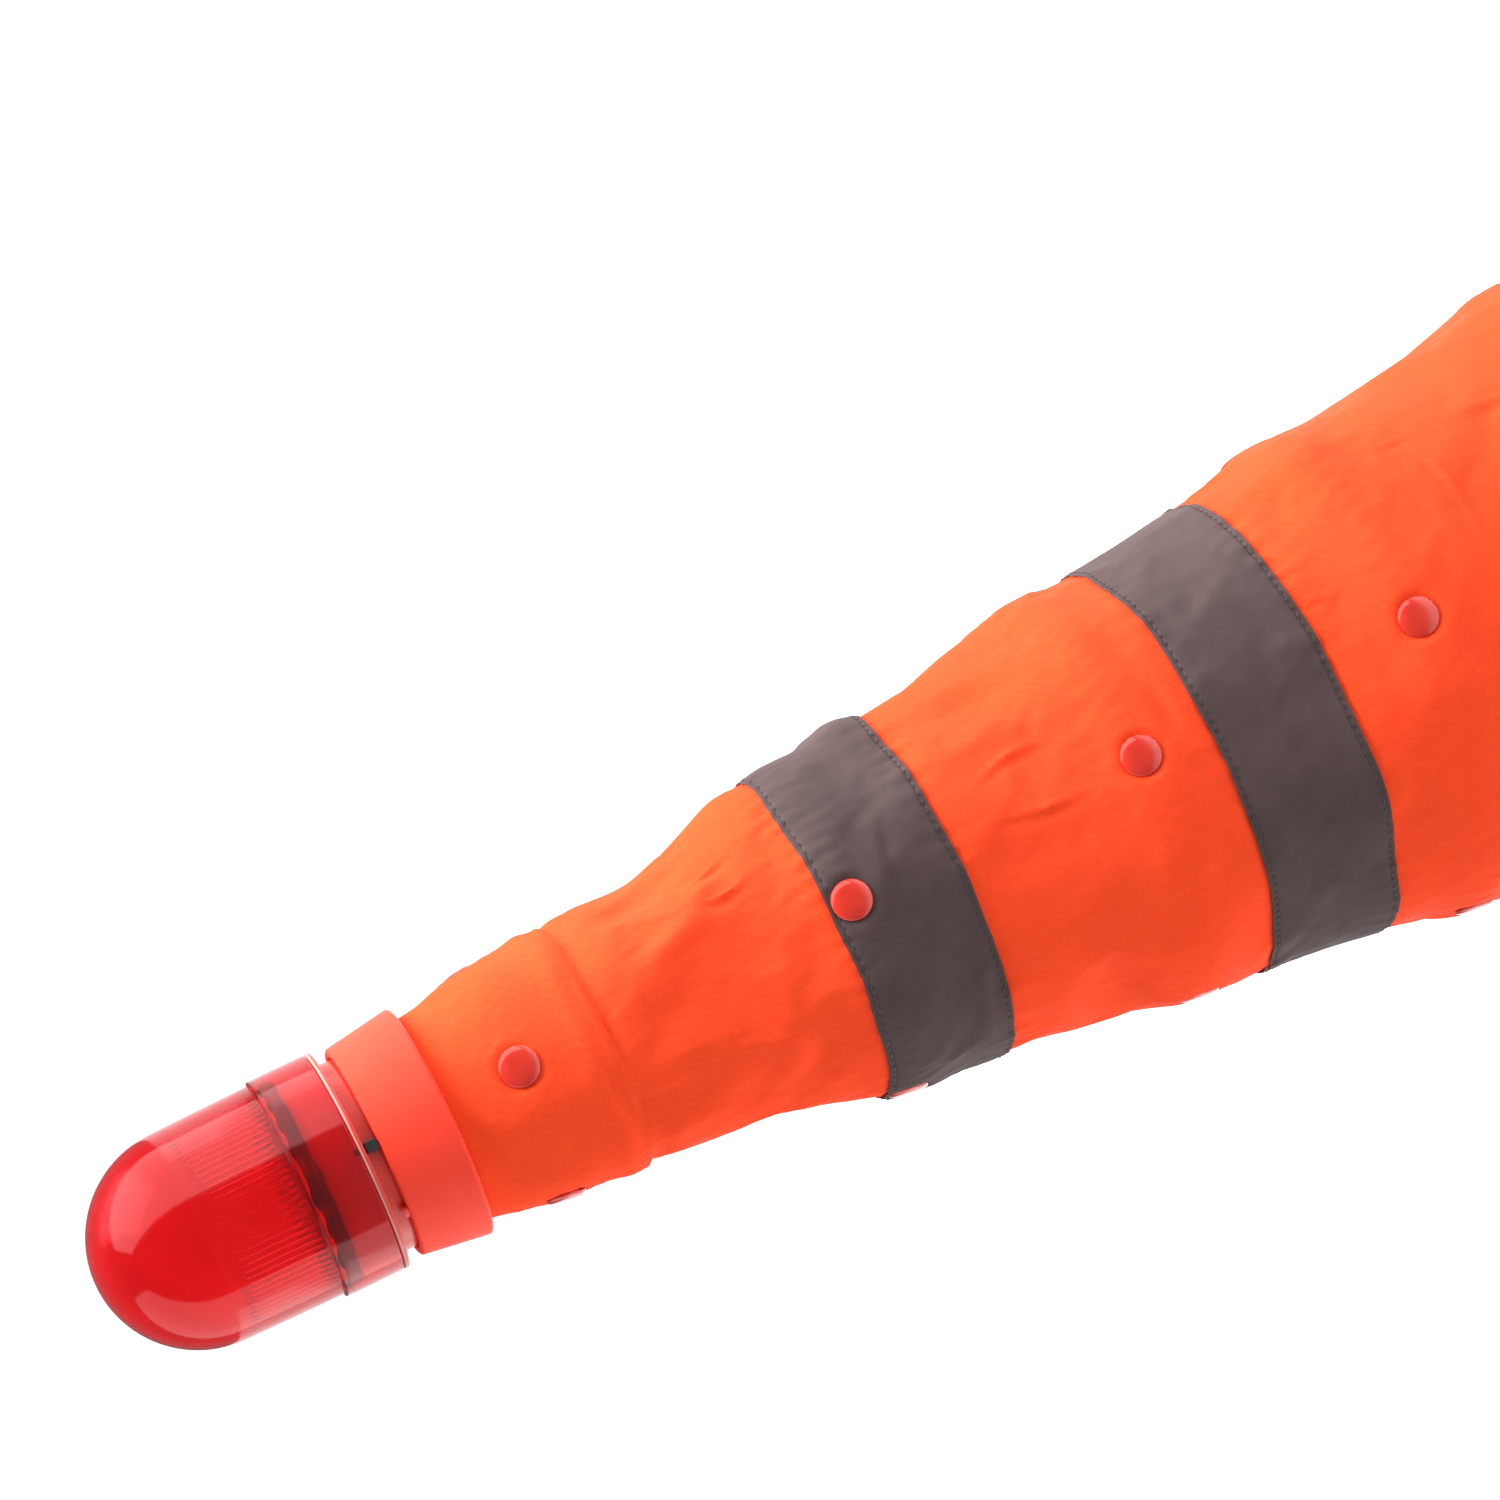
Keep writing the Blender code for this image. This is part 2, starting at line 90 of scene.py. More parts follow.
def stitch_rows(band):
    """Heights of the two rows of stitches that hold a band of tape."""
    return low(band).z + STITCH_INSET, high(band).z - STITCH_INSET


# ---------------------------------------------------------------- materials


class Look:
    """A Principled material built up node by node. Its first colour and roughness hold where no node
    replaces them."""

    def __init__(self, name, colour, roughness, **constants):
        self.made = bpy.data.materials.new(name)
        self.made.use_nodes = True
        self.tree = self.made.node_tree
        self.shader = self.tree.nodes["Principled BSDF"]
        self.set("Base Color", (*colour, 1.0))
        self.set("Roughness", roughness)
        for socket, value in constants.items():
            self.set(socket.replace("_", " "), value)
        self.object_place = self.add("ShaderNodeTexCoord").outputs["Object"]

    def set(self, socket, value):
        self.shader.inputs[socket].default_value = value

    def link(self, source, target):
        self.tree.links.new(source, target)

    def add(self, kind, inputs=None, **settings):
        node = self.tree.nodes.new(kind)
        for key, value in settings.items():
            setattr(node, key, value)
        for key, value in (inputs or {}).items():
            socket = node.inputs[key]
            if isinstance(value, bpy.types.NodeSocket):
                self.link(value, socket)
            else:
                socket.default_value = value
        return node

    def math(self, operation, a, b=0.0, c=0.0):
        return self.add("ShaderNodeMath", {0: a, 1: b, 2: c}, operation=operation).outputs[0]

    def noise(self, scale, detail=3.0, rough=0.55, place=None):
        place = place or self.object_place
        inputs = {"Vector": place, "Scale": scale, "Detail": detail, "Roughness": rough}
        return self.add("ShaderNodeTexNoise", inputs).outputs["Fac"]

    def cells(self, scale):
        """Distance from the nearest of the scattered points."""
        inputs = {"Vector": self.object_place, "Scale": scale}
        return self.add("ShaderNodeTexVoronoi", inputs).outputs["Distance"]

    def ramp(self, value, low_in, high_in, low_out=0.0, high_out=1.0):
        inputs = {0: value, 1: low_in, 2: high_in, 3: low_out, 4: high_out}
        return self.add("ShaderNodeMapRange", inputs).outputs[0]

    def spread(self, scale, detail=3.0):
        """Noise, with its middle stretched to run from 0 to 1."""
        return self.ramp(self.noise(scale, detail), 0.3, 0.7)

    def mix(self, amount, a, b):
        node = self.tree.nodes.new("ShaderNodeMix")
        node.data_type = "RGBA"
        for key, value in ((0, amount), (6, a), (7, b)):
            if isinstance(value, bpy.types.NodeSocket):
                self.link(value, node.inputs[key])
            else:
                node.inputs[key].default_value = value if key == 0 else (*value, 1.0)
        return node.outputs[2]

    def colours(self, amount, a, b):
        """The surface's colour, from a where the amount is 0 to b where it is 1."""
        self.link(self.mix(amount, a, b), self.shader.inputs["Base Color"])

    def roughness(self, socket):
        self.link(socket, self.shader.inputs["Roughness"])

    def gloss(self, scale, smoothest, roughest, detail=3.0):
        """Roughness that varies from place to place."""
        self.roughness(self.ramp(self.noise(scale, detail), 0.3, 0.7, smoothest, roughest))

    def bump(self, height, distance, strength):
        """Adds a bump of that height in metres on top of the bumps before it."""
        node = self.add("ShaderNodeBump", {"Height": height, "Distance": distance, "Strength": strength})
        before = self.shader.inputs["Normal"]
        if before.is_linked:
            self.link(before.links[0].from_socket, node.inputs["Normal"])
        self.link(node.outputs[0], before)

    def grain(self, scale, height, strength, detail=2.0):
        """Fine bumps, with their height in millimetres."""
        self.bump(self.noise(scale, detail), height * MM, strength)

    def paper_place(self):
        """Place on the flat-cut cloth, in metres."""
        return self.add("ShaderNodeUVMap", uv_map="cut").outputs["UV"]


def weave_height(look, pitch):
    """Warp over weft: a twill of fine threads on the flat cut, from 0 to 1."""
    place = look.add("ShaderNodeSeparateXYZ", {0: look.paper_place()})
    x = place.outputs[0]
    y = place.outputs[1]
    turn = 2 * math.pi / pitch
    warp = look.math("SINE", look.math("MULTIPLY", x, turn))
    weft = look.math("SINE", look.math("MULTIPLY", y, turn))
    twill = look.math("SINE", look.math("MULTIPLY", look.math("ADD", x, y), turn / 4))
    woven = look.math("MULTIPLY_ADD", warp, weft, look.math("MULTIPLY", twill, 0.25))
    return look.math("MULTIPLY_ADD", woven, 0.3, 0.5)


def streaks(look, across, along):
    """Threads that vary in thickness, from noise drawn out along the flat cut."""
    stretch = {0: look.paper_place(), 1: (across, along, 1)}
    place = look.add("ShaderNodeVectorMath", stretch, operation="MULTIPLY").outputs[0]
    return look.noise(1.0, 2.0, 0.5, place)


def orange_cloth():
    look = Look("orange_cloth", (1.0, 0.07, 0.03), 0.6, Specular_IOR_Level=0.02)
    weave = weave_height(look, 0.9 * MM)
    ribs = weave_height(look, 1.7 * MM)
    blotch = look.ramp(look.noise(22.0), 0.3, 0.75)
    deep = look.mix(blotch, (0.97, 0.056, 0.017), (1.0, 0.068, 0.021))
    threads = look.mix(look.ramp(weave, 0.0, 1.0, 0.0, 0.55), deep, (1.0, 0.12, 0.035))
    uneven = look.math("MINIMUM", streaks(look, 1300.0, 60.0), streaks(look, 60.0, 1300.0))
    look.colours(look.ramp(uneven, 0.28, 0.46, 0.2, 0.0), threads, (0.85, 0.04, 0.012))
    look.gloss(60.0, 0.52, 0.68, 2.0)
    look.bump(weave, 0.06 * MM, 0.8)
    look.bump(ribs, 0.08 * MM, 0.6)
    look.grain(160.0, 0.25, 0.35, 3.0)
    return look.made


def grey_tape():
    look = Look("grey_tape", (0.11, 0.074, 0.073), 0.5, Specular_IOR_Level=0.03)
    beads = look.cells(5200.0)
    mottle = look.noise(70.0, 4.0)
    base = look.mix(look.ramp(mottle, 0.3, 0.75), (0.082, 0.055, 0.055), (0.105, 0.072, 0.071))
    worn = look.ramp(look.noise(420.0, 5.0, 0.7), 0.66, 0.78)
    look.colours(look.math("MULTIPLY", worn, 0.35), base, (0.20, 0.17, 0.16))
    look.roughness(look.ramp(mottle, 0.3, 0.7, 0.48, 0.62))
    look.bump(beads, 0.05 * MM, 0.25)
    look.grain(190.0, 0.3, 0.3, 3.0)
    along = look.add("ShaderNodeVectorMath", {0: look.paper_place()}, operation="LENGTH").outputs["Value"]
    groove = 0.0
    for band in BANDS:
        for z in stitch_rows(band):
            off = look.math("ABSOLUTE", look.math("SUBTRACT", along, cone_radius(z) / CONE_SHARE))
            groove = look.math("MAXIMUM", groove, look.ramp(off, 0.0, 0.7 * MM, 1.0, 0.0))
    look.bump(groove, -0.3 * MM, 0.8)
    return look.made


def thread(name, colour):
    look = Look(name, colour, 0.55, Sheen_Weight=0.3)
    twist = look.noise(3500.0, 1.0)
    dull = tuple(0.6 * c for c in colour)
    look.colours(look.ramp(twist, 0.35, 0.65), dull, colour)
    look.bump(twist, 0.05 * MM, 0.5)
    return look.made


def orange_plastic():
    look = Look("orange_plastic", (1.0, 0.075, 0.035), 0.46, Specular_IOR_Level=0.14)
    look.set("Subsurface Weight", 0.12)
    look.set("Subsurface Scale", 0.002)
    look.set("Subsurface Radius", (1.0, 0.25, 0.1))
    look.colours(look.spread(35.0), (0.97, 0.060, 0.033), (1.0, 0.076, 0.041))
    look.gloss(300.0, 0.4, 0.52, 4.0)
    look.grain(1400.0, 0.03, 0.4)
    look.grain(90.0, 0.15, 0.2)
    return look.made


def coral_plastic():
    look = Look("coral_plastic", (0.75, 0.05, 0.03), 0.1, Coat_Weight=0.8, Coat_Roughness=0.03)
    look.set("Specular IOR Level", 0.5)
    look.set("Subsurface Weight", 0.08)
    look.set("Subsurface Scale", 0.002)
    look.set("Subsurface Radius", (1.0, 0.3, 0.2))
    look.colours(look.spread(140.0, 2.0), (0.60, 0.026, 0.013), (0.70, 0.036, 0.018))
    look.roughness(look.ramp(look.noise(900.0, 4.0, 0.7), 0.35, 0.75, 0.03, 0.09))
    look.grain(260.0, 0.1, 0.12)
    return look.made


def red_lens():
    look = Look("red_lens", (0.90, 0.022, 0.035), 0.04, Transmission_Weight=0.93, IOR=1.49)
    look.set("Specular IOR Level", 0.11)
    flow = look.noise(30.0, 2.0)
    speck = look.ramp(look.cells(95.0), 0.0, 0.035, 1.0, 0.0)
    red = look.mix(look.ramp(flow, 0.3, 0.7), (0.78, 0.009, 0.017), (0.84, 0.013, 0.024))
    look.colours(look.math("MULTIPLY", speck, 0.8), red, (1.0, 0.62, 0.6))
    look.roughness(look.ramp(look.noise(700.0, 4.0, 0.7), 0.4, 0.8, 0.08, 0.15))
    look.bump(flow, 0.6 * MM, 0.06)
    look.bump(speck, 0.12 * MM, 0.6)
    return look.made


def pale_plastic():
    """Pale at the rim, and red-orange below it: painted light, the orange collar's colour cast onto the pale
    plastic.
    """
    look = Look("pale_plastic", (0.95, 0.48, 0.44), 0.18, Transmission_Weight=0.2, IOR=1.49)
    look.set("Subsurface Weight", 0.2)
    look.set("Subsurface Scale", 0.003)
    cloud = look.spread(60.0)
    height = look.add("ShaderNodeSeparateXYZ", {0: look.object_place}).outputs[2]
    rim = look.ramp(height, high("lamp_base").z - 0.65 * MM, high("lamp_base").z - 0.5 * MM)
    # Painted light: below the rim the pale plastic is given the red-orange of the collar beside it.
    painted_collar_light = look.mix(cloud, (0.80, 0.055, 0.035), (0.88, 0.07, 0.05))
    pale = look.mix(cloud, (0.66, 0.30, 0.26), (0.78, 0.42, 0.38))
    look.colours(rim, painted_collar_light, pale)
    look.gloss(500.0, 0.14, 0.28)
    look.grain(300.0, 0.05, 0.2)
    return look.made


def case_plastic():
    look = Look("case_plastic", (0.42, 0.10, 0.10), 0.45)
    look.colours(look.spread(50.0), (0.72, 0.12, 0.11), (0.82, 0.17, 0.15))
    look.gloss(600.0, 0.4, 0.55, 2.0)
    look.grain(1500.0, 0.03, 0.4)
    return look.made


def black_plastic():
    look = Look("black_plastic", (0.022, 0.022, 0.024), 0.5, Specular_IOR_Level=0.45)
    scuff = look.ramp(look.noise(55.0, 6.0, 0.75), 0.55, 0.8)
    dust = look.math("MULTIPLY", scuff, 0.35)
    look.colours(dust, (0.02, 0.02, 0.022), (0.075, 0.072, 0.07))
    look.gloss(240.0, 0.42, 0.62, 4.0)
    look.bump(look.cells(1300.0), 0.10 * MM, 0.35)
    look.grain(2600.0, 0.04, 0.3)
    return look.made


def black_rubber():
    look = Look("black_rubber", (0.016, 0.016, 0.017), 0.75, Specular_IOR_Level=0.3)
    bloom = look.ramp(look.noise(80.0, 5.0, 0.7), 0.45, 0.8, 0.0, 0.4)
    look.colours(bloom, (0.014, 0.014, 0.015), (0.05, 0.048, 0.047))
    look.gloss(300.0, 0.65, 0.85)
    look.grain(1800.0, 0.06, 0.5, 3.0)
    return look.made


def spring_steel():
    look = Look("spring_steel", (0.5, 0.5, 0.52), 0.32, Metallic=1.0)
    oxide = look.ramp(look.noise(160.0, 5.0, 0.7), 0.5, 0.8, 0.0, 0.7)
    look.colours(oxide, (0.52, 0.52, 0.54), (0.30, 0.27, 0.24))
    look.gloss(700.0, 0.25, 0.42, 4.0)
    look.grain(2400.0, 0.02, 0.4)
    return look.made


def white_nylon():
    look = Look("white_nylon", (0.76, 0.74, 0.69), 0.45, Subsurface_Weight=0.15, Subsurface_Scale=0.002)
    look.colours(look.spread(40.0), (0.70, 0.68, 0.62), (0.80, 0.78, 0.73))
    look.gloss(400.0, 0.38, 0.52)
    look.grain(900.0, 0.04, 0.3)
    return look.made


def cell_wrap():
    look = Look("cell_wrap", (0.05, 0.18, 0.12), 0.3, Coat_Weight=0.4)
    along = look.add("ShaderNodeSeparateXYZ", {0: look.object_place}).outputs[0]
    ends = look.ramp(look.math("ABSOLUTE", along), 0.0165, 0.0167)
    wrap = look.mix(look.spread(90.0, 2.0), (0.04, 0.15, 0.10), (0.06, 0.20, 0.14))
    look.colours(ends, wrap, (0.55, 0.50, 0.38))
    look.gloss(500.0, 0.22, 0.36)
    return look.made


def circuit_green():
    look = Look("circuit_green", (0.02, 0.2, 0.08), 0.3)
    tracks = look.ramp(look.cells(420.0), 0.42, 0.46)
    look.colours(tracks, (0.015, 0.16, 0.065), (0.03, 0.26, 0.11))
    look.gloss(500.0, 0.25, 0.4, 2.0)
    look.bump(tracks, 0.04 * MM, 0.5)
    return look.made


def led_clear():
    look = Look("led_clear", (0.92, 0.90, 0.86), 0.08, Transmission_Weight=0.6, IOR=1.5)
    look.colours(look.spread(300.0, 2.0), (0.86, 0.84, 0.80), (0.95, 0.93, 0.9))
    look.gloss(900.0, 0.05, 0.14, 2.0)
    return look.made


def red_lug():
    look = Look("red_lug", (0.78, 0.03, 0.03), 0.15, Coat_Weight=0.4)
    look.colours(look.spread(400.0, 2.0), (0.72, 0.025, 0.025), (0.84, 0.05, 0.04))
    look.grain(600.0, 0.05, 0.2)
    return look.made


def sealing_rubber():
    look = Look("sealing_rubber", (0.008, 0.002, 0.002), 0.85, Specular_IOR_Level=0.1)
    patch = look.ramp(look.noise(110.0), 0.52, 0.66)
    look.colours(patch, (0.006, 0.001, 0.001), (0.22, 0.02, 0.02))
    look.grain(900.0, 0.1, 0.6, 3.0)
    return look.made


def pale_floor():
    """Matt white, with a glow that grows towards the back."""
    look = Look("pale_floor", (0.93, 0.93, 0.93), 0.6, Specular_IOR_Level=0.2)
    look.set("Emission Color", (1.0, 1.0, 1.0, 1.0))
    behind = look.add("ShaderNodeSeparateXYZ", {0: look.object_place}).outputs[1]
    look.link(look.ramp(behind, 0.1, 0.9, 0.1, 1.0), look.shader.inputs["Emission Strength"])
    cloud = look.noise(3.0, 2.0)
    front = look.mix(cloud, (0.72, 0.72, 0.725), (0.75, 0.75, 0.75))
    back = look.mix(cloud, (0.84, 0.84, 0.845), (0.87, 0.87, 0.87))
    look.colours(look.ramp(behind, 0.1, 0.5), front, back)
    return look.made


LOOKS = {
    make.__name__: make()
    for make in (
        orange_cloth, grey_tape, orange_plastic, coral_plastic, red_lens, pale_plastic, case_plastic,
        black_plastic, black_rubber, spring_steel, white_nylon, cell_wrap, circuit_green, led_clear,
        red_lug, sealing_rubber, pale_floor,
    )
}  # fmt: skip
LOOKS["orange_thread"] = thread("orange_thread", (0.95, 0.10, 0.03))
LOOKS["grey_thread"] = thread("grey_thread", (0.04, 0.028, 0.028))


# ---------------------------------------------------------------- mesh helpers


def link_piece(name, mesh, look, body=None, stands_for=None, place=(0, 0, 0), spin=(0, 0, 0)):
    """Makes a piece of the mesh, with the look in its slot."""
    piece = bpy.data.objects.new(name, mesh)
    scene.collection.objects.link(piece)
    mesh.materials.append(LOOKS[look])
    piece.location = place
    piece.rotation_euler = spin
    if body:
        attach(piece, body)
    if stands_for:
        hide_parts(stands_for)
    return piece


def mesh_from(name, points, faces):
    mesh = bpy.data.meshes.new(name)
    mesh.from_pydata(np.asarray(points, float).reshape(-1, 3).tolist(), [], faces)
    mesh.validate()
    mesh.shade_smooth()
    return mesh


def turns_of(count):
    """Angles spaced evenly round a full turn."""
    return 2 * np.pi * np.arange(count) / count


def unit(vectors):
    return vectors / np.linalg.norm(vectors, axis=-1, keepdims=True)


def wire_points(centre, outward, radius, sides):
    """Rings of points round a wire, from the points along its middle."""
    run = unit(np.gradient(centre, axis=-2))
    side = unit(np.cross(run, outward))
    rise = np.cross(side, run)
    rings = [centre + radius * (math.cos(t) * side + math.sin(t) * rise) for t in turns_of(sides)]
    return np.stack(rings, -2)


def end_caps(rows, columns):
    """The two faces that close a grid's first and last row."""
    return [list(range(columns))[::-1], [(rows - 1) * columns + i for i in range(columns)]]


def grid_faces(rows, columns, close_rows=False):
    """Quads of a grid that closes round its columns."""
    index = np.arange(rows * columns).reshape(rows, columns)
    a = index if close_rows else index[:-1]
    d = np.roll(index, -1, 0) if close_rows else index[1:]
    return np.stack([a, np.roll(a, -1, 1), np.roll(d, -1, 1), d], -1).reshape(-1, 4)


def turned(name, profile, count, sharp):
    """A body turned round Z from (radius, z) points. Points on the axis end it, or else it joins up."""
    inside = [p for p in profile if p[0] > 0]
    turns = turns_of(count)
    rings = np.array([[[r * math.cos(t), r * math.sin(t), z] for t in turns] for r, z in inside])
    poles = [(0, 0, z) for r, z in profile if r == 0]
    faces = grid_faces(len(inside), count, close_rows=not poles).tolist()
    points = rings.reshape(-1, 3).tolist() + poles
    last = (len(inside) - 1) * count
    for number in range(len(poles)):
        pole = len(inside) * count + number
        start = 0 if number == 0 else last
        for i in range(count):
            j = (i + 1) % count
            faces.append([pole, start + j, start + i] if number == 0 else [pole, start + i, start + j])
    return soft_solid(name, points, faces, sharp)


def lofted(name, loops):
    """A closed body through loops of points, with a flat face on the first and the last."""
    count = len(loops[0])
    return soft_solid(name, loops, grid_faces(len(loops), count).tolist() + end_caps(len(loops), count))


def face_outward(mesh):
    bm = bmesh.new()
    bm.from_mesh(mesh)
    bmesh.ops.recalc_face_normals(bm, faces=bm.faces)
    bm.to_mesh(mesh)
    bm.free()


def soft_solid(name, points, faces, sharp=40):
    """A closed mesh with its faces outward, smooth but for edges of more than sharp degrees."""
    mesh = mesh_from(name, points, faces)
    face_outward(mesh)
    mesh.set_sharp_from_angle(angle=math.radians(sharp))
    return mesh


def rounded(profile, radius, steps):
    """The profile with each inner corner replaced by a small curve."""
    result = [profile[0]]
    for before, here, after in zip(profile, profile[1:], profile[2:]):
        here_v = Vector(here)
        to_before = Vector(before) - here_v
        to_after = Vector(after) - here_v
        cut = min(radius, 0.45 * to_before.length, 0.45 * to_after.length)
        start = here_v + to_before.normalized() * cut
        end = here_v + to_after.normalized() * cut
        for i in range(steps + 1):
            t = i / steps
            point = start * (1 - t) ** 2 + here_v * 2 * t * (1 - t) + end * t**2
            result.append((point.x, point.y))
    result.append(profile[-1])
    return result


# ---------------------------------------------------------------- cloth


COLUMNS = 400
FINE_ROW = 1.15 * MM
COARSE_ROW = 2.2 * MM
FINE_FROM = 0.235
SEED = 11
SETTLING_SHARE = 0.5

# The creases on the side with the switch: degrees round, height in metres, degrees of slant, then
# length, width and rise in millimetres, and bend.
FRONT_CREASES = [
    (-41, 0.5027, 103, 8, 0.9, 0.8, 0.1),
    (-56, 0.5022, 85, 7, 0.9, 1.0, -0.3),
    (-62, 0.4164, 95, 10, 1.1, 0.9, 0.15),
    (-81, 0.4139, 82, 14, 1.1, 1.0, -0.1),
    (-73, 0.3695, 10, 13, 1.7, 0.8, 0.1),
    (-74, 0.4612, 166, 16, 1.4, 0.5, 0.1),
    (-128, 0.4482, 174, 22, 2.4, 1.2, 0.1),
    (-39, 0.2763, 76, 5, 0.9, 0.7, 0.0),
    (-54, 0.2717, 2, 26, 0.9, 0.5, 0.1),
    (-43, 0.2493, 73, 7, 1.6, 1.0, 0.0),
    (-55, 0.3234, 80, 5, 0.9, 0.7, 0.0),
    (-65, 0.3214, 78, 5, 0.9, 0.7, 0.0),
    (-67, 0.3180, 120, 5, 0.9, 0.5, 0.0),
    (-109, 0.5475, 8, 13, 1.7, 0.9, 0.1),
    (-139, 0.5470, -6, 14, 2.2, 1.0, 0.0),
]

# Soft rises and hollows there: degrees round, height in metres, degrees of slant, then half length,
# half width and rise in millimetres.
FRONT_SWELLS = [
    (-28, 0.5225, 98, 17, 6.0, -1.5),
    (-62, 0.5190, 104, 14, 4.5, 1.4),
    (-48, 0.5060, 90, 5, 3.5, 1.2),
    (-88, 0.5260, 100, 13, 7.0, -1.0),
    (-130, 0.4960, 5, 8, 4.5, -1.5),
    (-122, 0.5030, 20, 10, 5.0, 1.1),
    (-136, 0.5380, 80, 9, 5.0, 1.2),
    (-120, 0.5400, 80, 9, 4.0, -1.0),
    (-36, 0.4180, 70, 14, 5.5, -1.2),
    (-52, 0.4230, 95, 12, 4.5, 1.0),
    (-92, 0.4190, 85, 16, 6.5, -1.2),
    (-146, 0.4110, 20, 15, 7.0, -1.6),
    (-160, 0.3950, 25, 11, 5.0, 1.2),
    (-110, 0.3900, 90, 13, 9.0, 1.0),
    (-50, 0.3750, 10, 10, 4.0, -1.0),
    (-95, 0.3100, 70, 18, 8.0, 1.0),
    (-120, 0.2950, 60, 16, 8.0, -1.3),
    (-60, 0.2600, 20, 16, 8.0, -1.0),
    (-30, 0.3050, 95, 15, 7.0, 1.0),
    (-8, 0.4510, 0, 17, 9.0, 3.0),
    (-5, 0.5210, 0, 18, 12.0, -2.2),
    (-8, 0.4890, 0, 18, 9.0, 2.0),
]


def cover_rows():
    """Row heights from the bottom hem to the top, with a row on every edge that matters."""
    stops = [FOLD_LOW]
    for band in reversed(BANDS):
        stops += [low(band).z, high(band).z]
    stops += [FOLD_HIGH, COVER_TOP]
    stops = sorted(stops + [FINE_FROM])
    heights = [FOLD_LOW]
    for start, end in zip(stops, stops[1:]):
        step = FINE_ROW if end > FINE_FROM else COARSE_ROW
        count = max(2, round((end - start) / step))
        heights += [start + (end - start) * i / count for i in range(1, count + 1)]
    return np.array(heights)


def bell(distance, width):
    return np.exp(-((distance / width) ** 2))


def turn_gap(turns, turn):
    """Angles from turn, from -pi to pi."""
    return np.angle(np.exp(1j * (turns - turn)))


def simulate_cover():
    """The slack cover settles on its hoops by cloth simulation. Returns how far it moves in or out, and
    the coarse grid's heights."""
    columns = 150
    row_count = 170
    frames = 16
    slack = 0.008
    heights = np.linspace(FOLD_LOW, COVER_TOP, row_count)
    turns = turns_of(columns)
    radius = cone_radius(heights)[:, None]
    random = np.random.default_rng(SEED)
    start_lumps = random.standard_normal((row_count, columns))
    for _ in range(5):
        start_lumps = sum(np.roll(start_lumps, k, 1) for k in (-1, 0, 1)) / 3
        padded = np.pad(start_lumps, ((1, 1), (0, 0)), mode="edge")
        start_lumps = (padded[:-2] + padded[1:-1] + padded[2:]) / 3
    start_radius = radius + 0.7 * MM * start_lumps / np.abs(start_lumps).max()
    start_z = np.repeat(heights[:, None], columns, 1)
    points = np.stack([start_radius * np.cos(turns), start_radius * np.sin(turns), start_z], -1)
    mesh = mesh_from("settling", points, grid_faces(row_count, columns).tolist())
    cloth = bpy.data.objects.new("settling", mesh)
    scene.collection.objects.link(cloth)

    held = np.zeros((row_count, columns))
    held[:3] = 1
    held[heights > COLLAR_LOW] = 1
    for z in RING_Z:
        held[np.abs(heights - z) < 3.5 * MM] = 0.6
        for turn in RIVET_TURNS:
            reach = np.hypot((heights - z)[:, None], radius * turn_gap(turns, turn)[None])
            held[reach < 5 * MM] = 1
    held[(heights > FOLD_HIGH) & (heights < COLLAR_LOW)] = 0.5
    group = cloth.vertex_groups.new(name="held")
    flat = held.reshape(-1)
    for weight in (0.5, 0.6, 1):
        group.add(np.nonzero(flat == weight)[0].tolist(), weight, "REPLACE")

    change = cloth.modifiers.new("Cloth", "CLOTH")
    settings = change.settings
    settings.vertex_group_mass = "held"
    settings.shrink_min = -slack
    settings.quality = 6
    settings.mass = 0.15
    settings.air_damping = 2
    settings.tension_stiffness = 20
    settings.compression_stiffness = 20
    settings.shear_stiffness = 8
    settings.bending_stiffness = 0.12
    settings.effector_weights.gravity = 0
    change.collision_settings.use_collision = False
    change.point_cache.frame_end = frames
    for number in range(1, frames + 1):
        scene.frame_set(number)
    settled = cloth.evaluated_get(bpy.context.evaluated_depsgraph_get()).data
    places = np.zeros(len(settled.vertices) * 3, np.float32)
    settled.vertices.foreach_get("co", places)
    places = places.reshape(row_count, columns, 3)
    scene.frame_set(1)
    bpy.data.objects.remove(cloth, do_unlink=True)
    moved = np.hypot(places[..., 0], places[..., 1]) - cone_radius(places[..., 2])
    return moved, heights


def resample(field, heights, new_heights, columns):
    """A periodic field on a coarse grid, read smoothly on a finer one."""
    spectrum = np.fft.rfft(field, axis=1)
    wide = np.zeros((field.shape[0], columns // 2 + 1), complex)
    wide[:, : spectrum.shape[1]] = spectrum
    across = np.fft.irfft(wide, columns, axis=1) * columns / field.shape[1]
    place = np.interp(new_heights, heights, np.arange(len(heights)))
    index = np.clip(place.astype(int), 0, len(heights) - 2)
    t = (place - index)[:, None]
    before = across[np.clip(index - 1, 0, None)]
    here = across[index]
    after = across[index + 1]
    beyond = across[np.clip(index + 2, None, len(heights) - 1)]
    slope_here = (after - before) / 2
    slope_after = (beyond - here) / 2
    return (
        here * (1 + 2 * t) * (1 - t) ** 2
        + after * t**2 * (3 - 2 * t)
        + slope_here * t * (1 - t) ** 2
        + slope_after * t**2 * (t - 1)
    )


def slanted(x, y, angle):
    """Places along a slanted line and to its side."""
    run = math.cos(angle) * x + math.sin(angle) * y
    return run, math.cos(angle) * y - math.sin(angle) * x


def soft_step(share):
    return share * share * (3 - 2 * share)


def crease(across, along, turn, z, angle, length, width, depth, bend):
    """A pinched crease: a sharp ridge with a shallow valley beside it, on a gently curved line."""
    run, side = slanted(across(turn), along - z, angle)
    side = side - bend * run**2 / length
    taper = np.exp(-((run / length) ** 4)) * np.exp(-np.abs(run / length))
    ridge = np.exp(-np.abs(side / width) ** 1.3)
    valley = bell(side - 1.8 * width, 1.6 * width)
    return depth * taper * (ridge - 0.75 * valley)


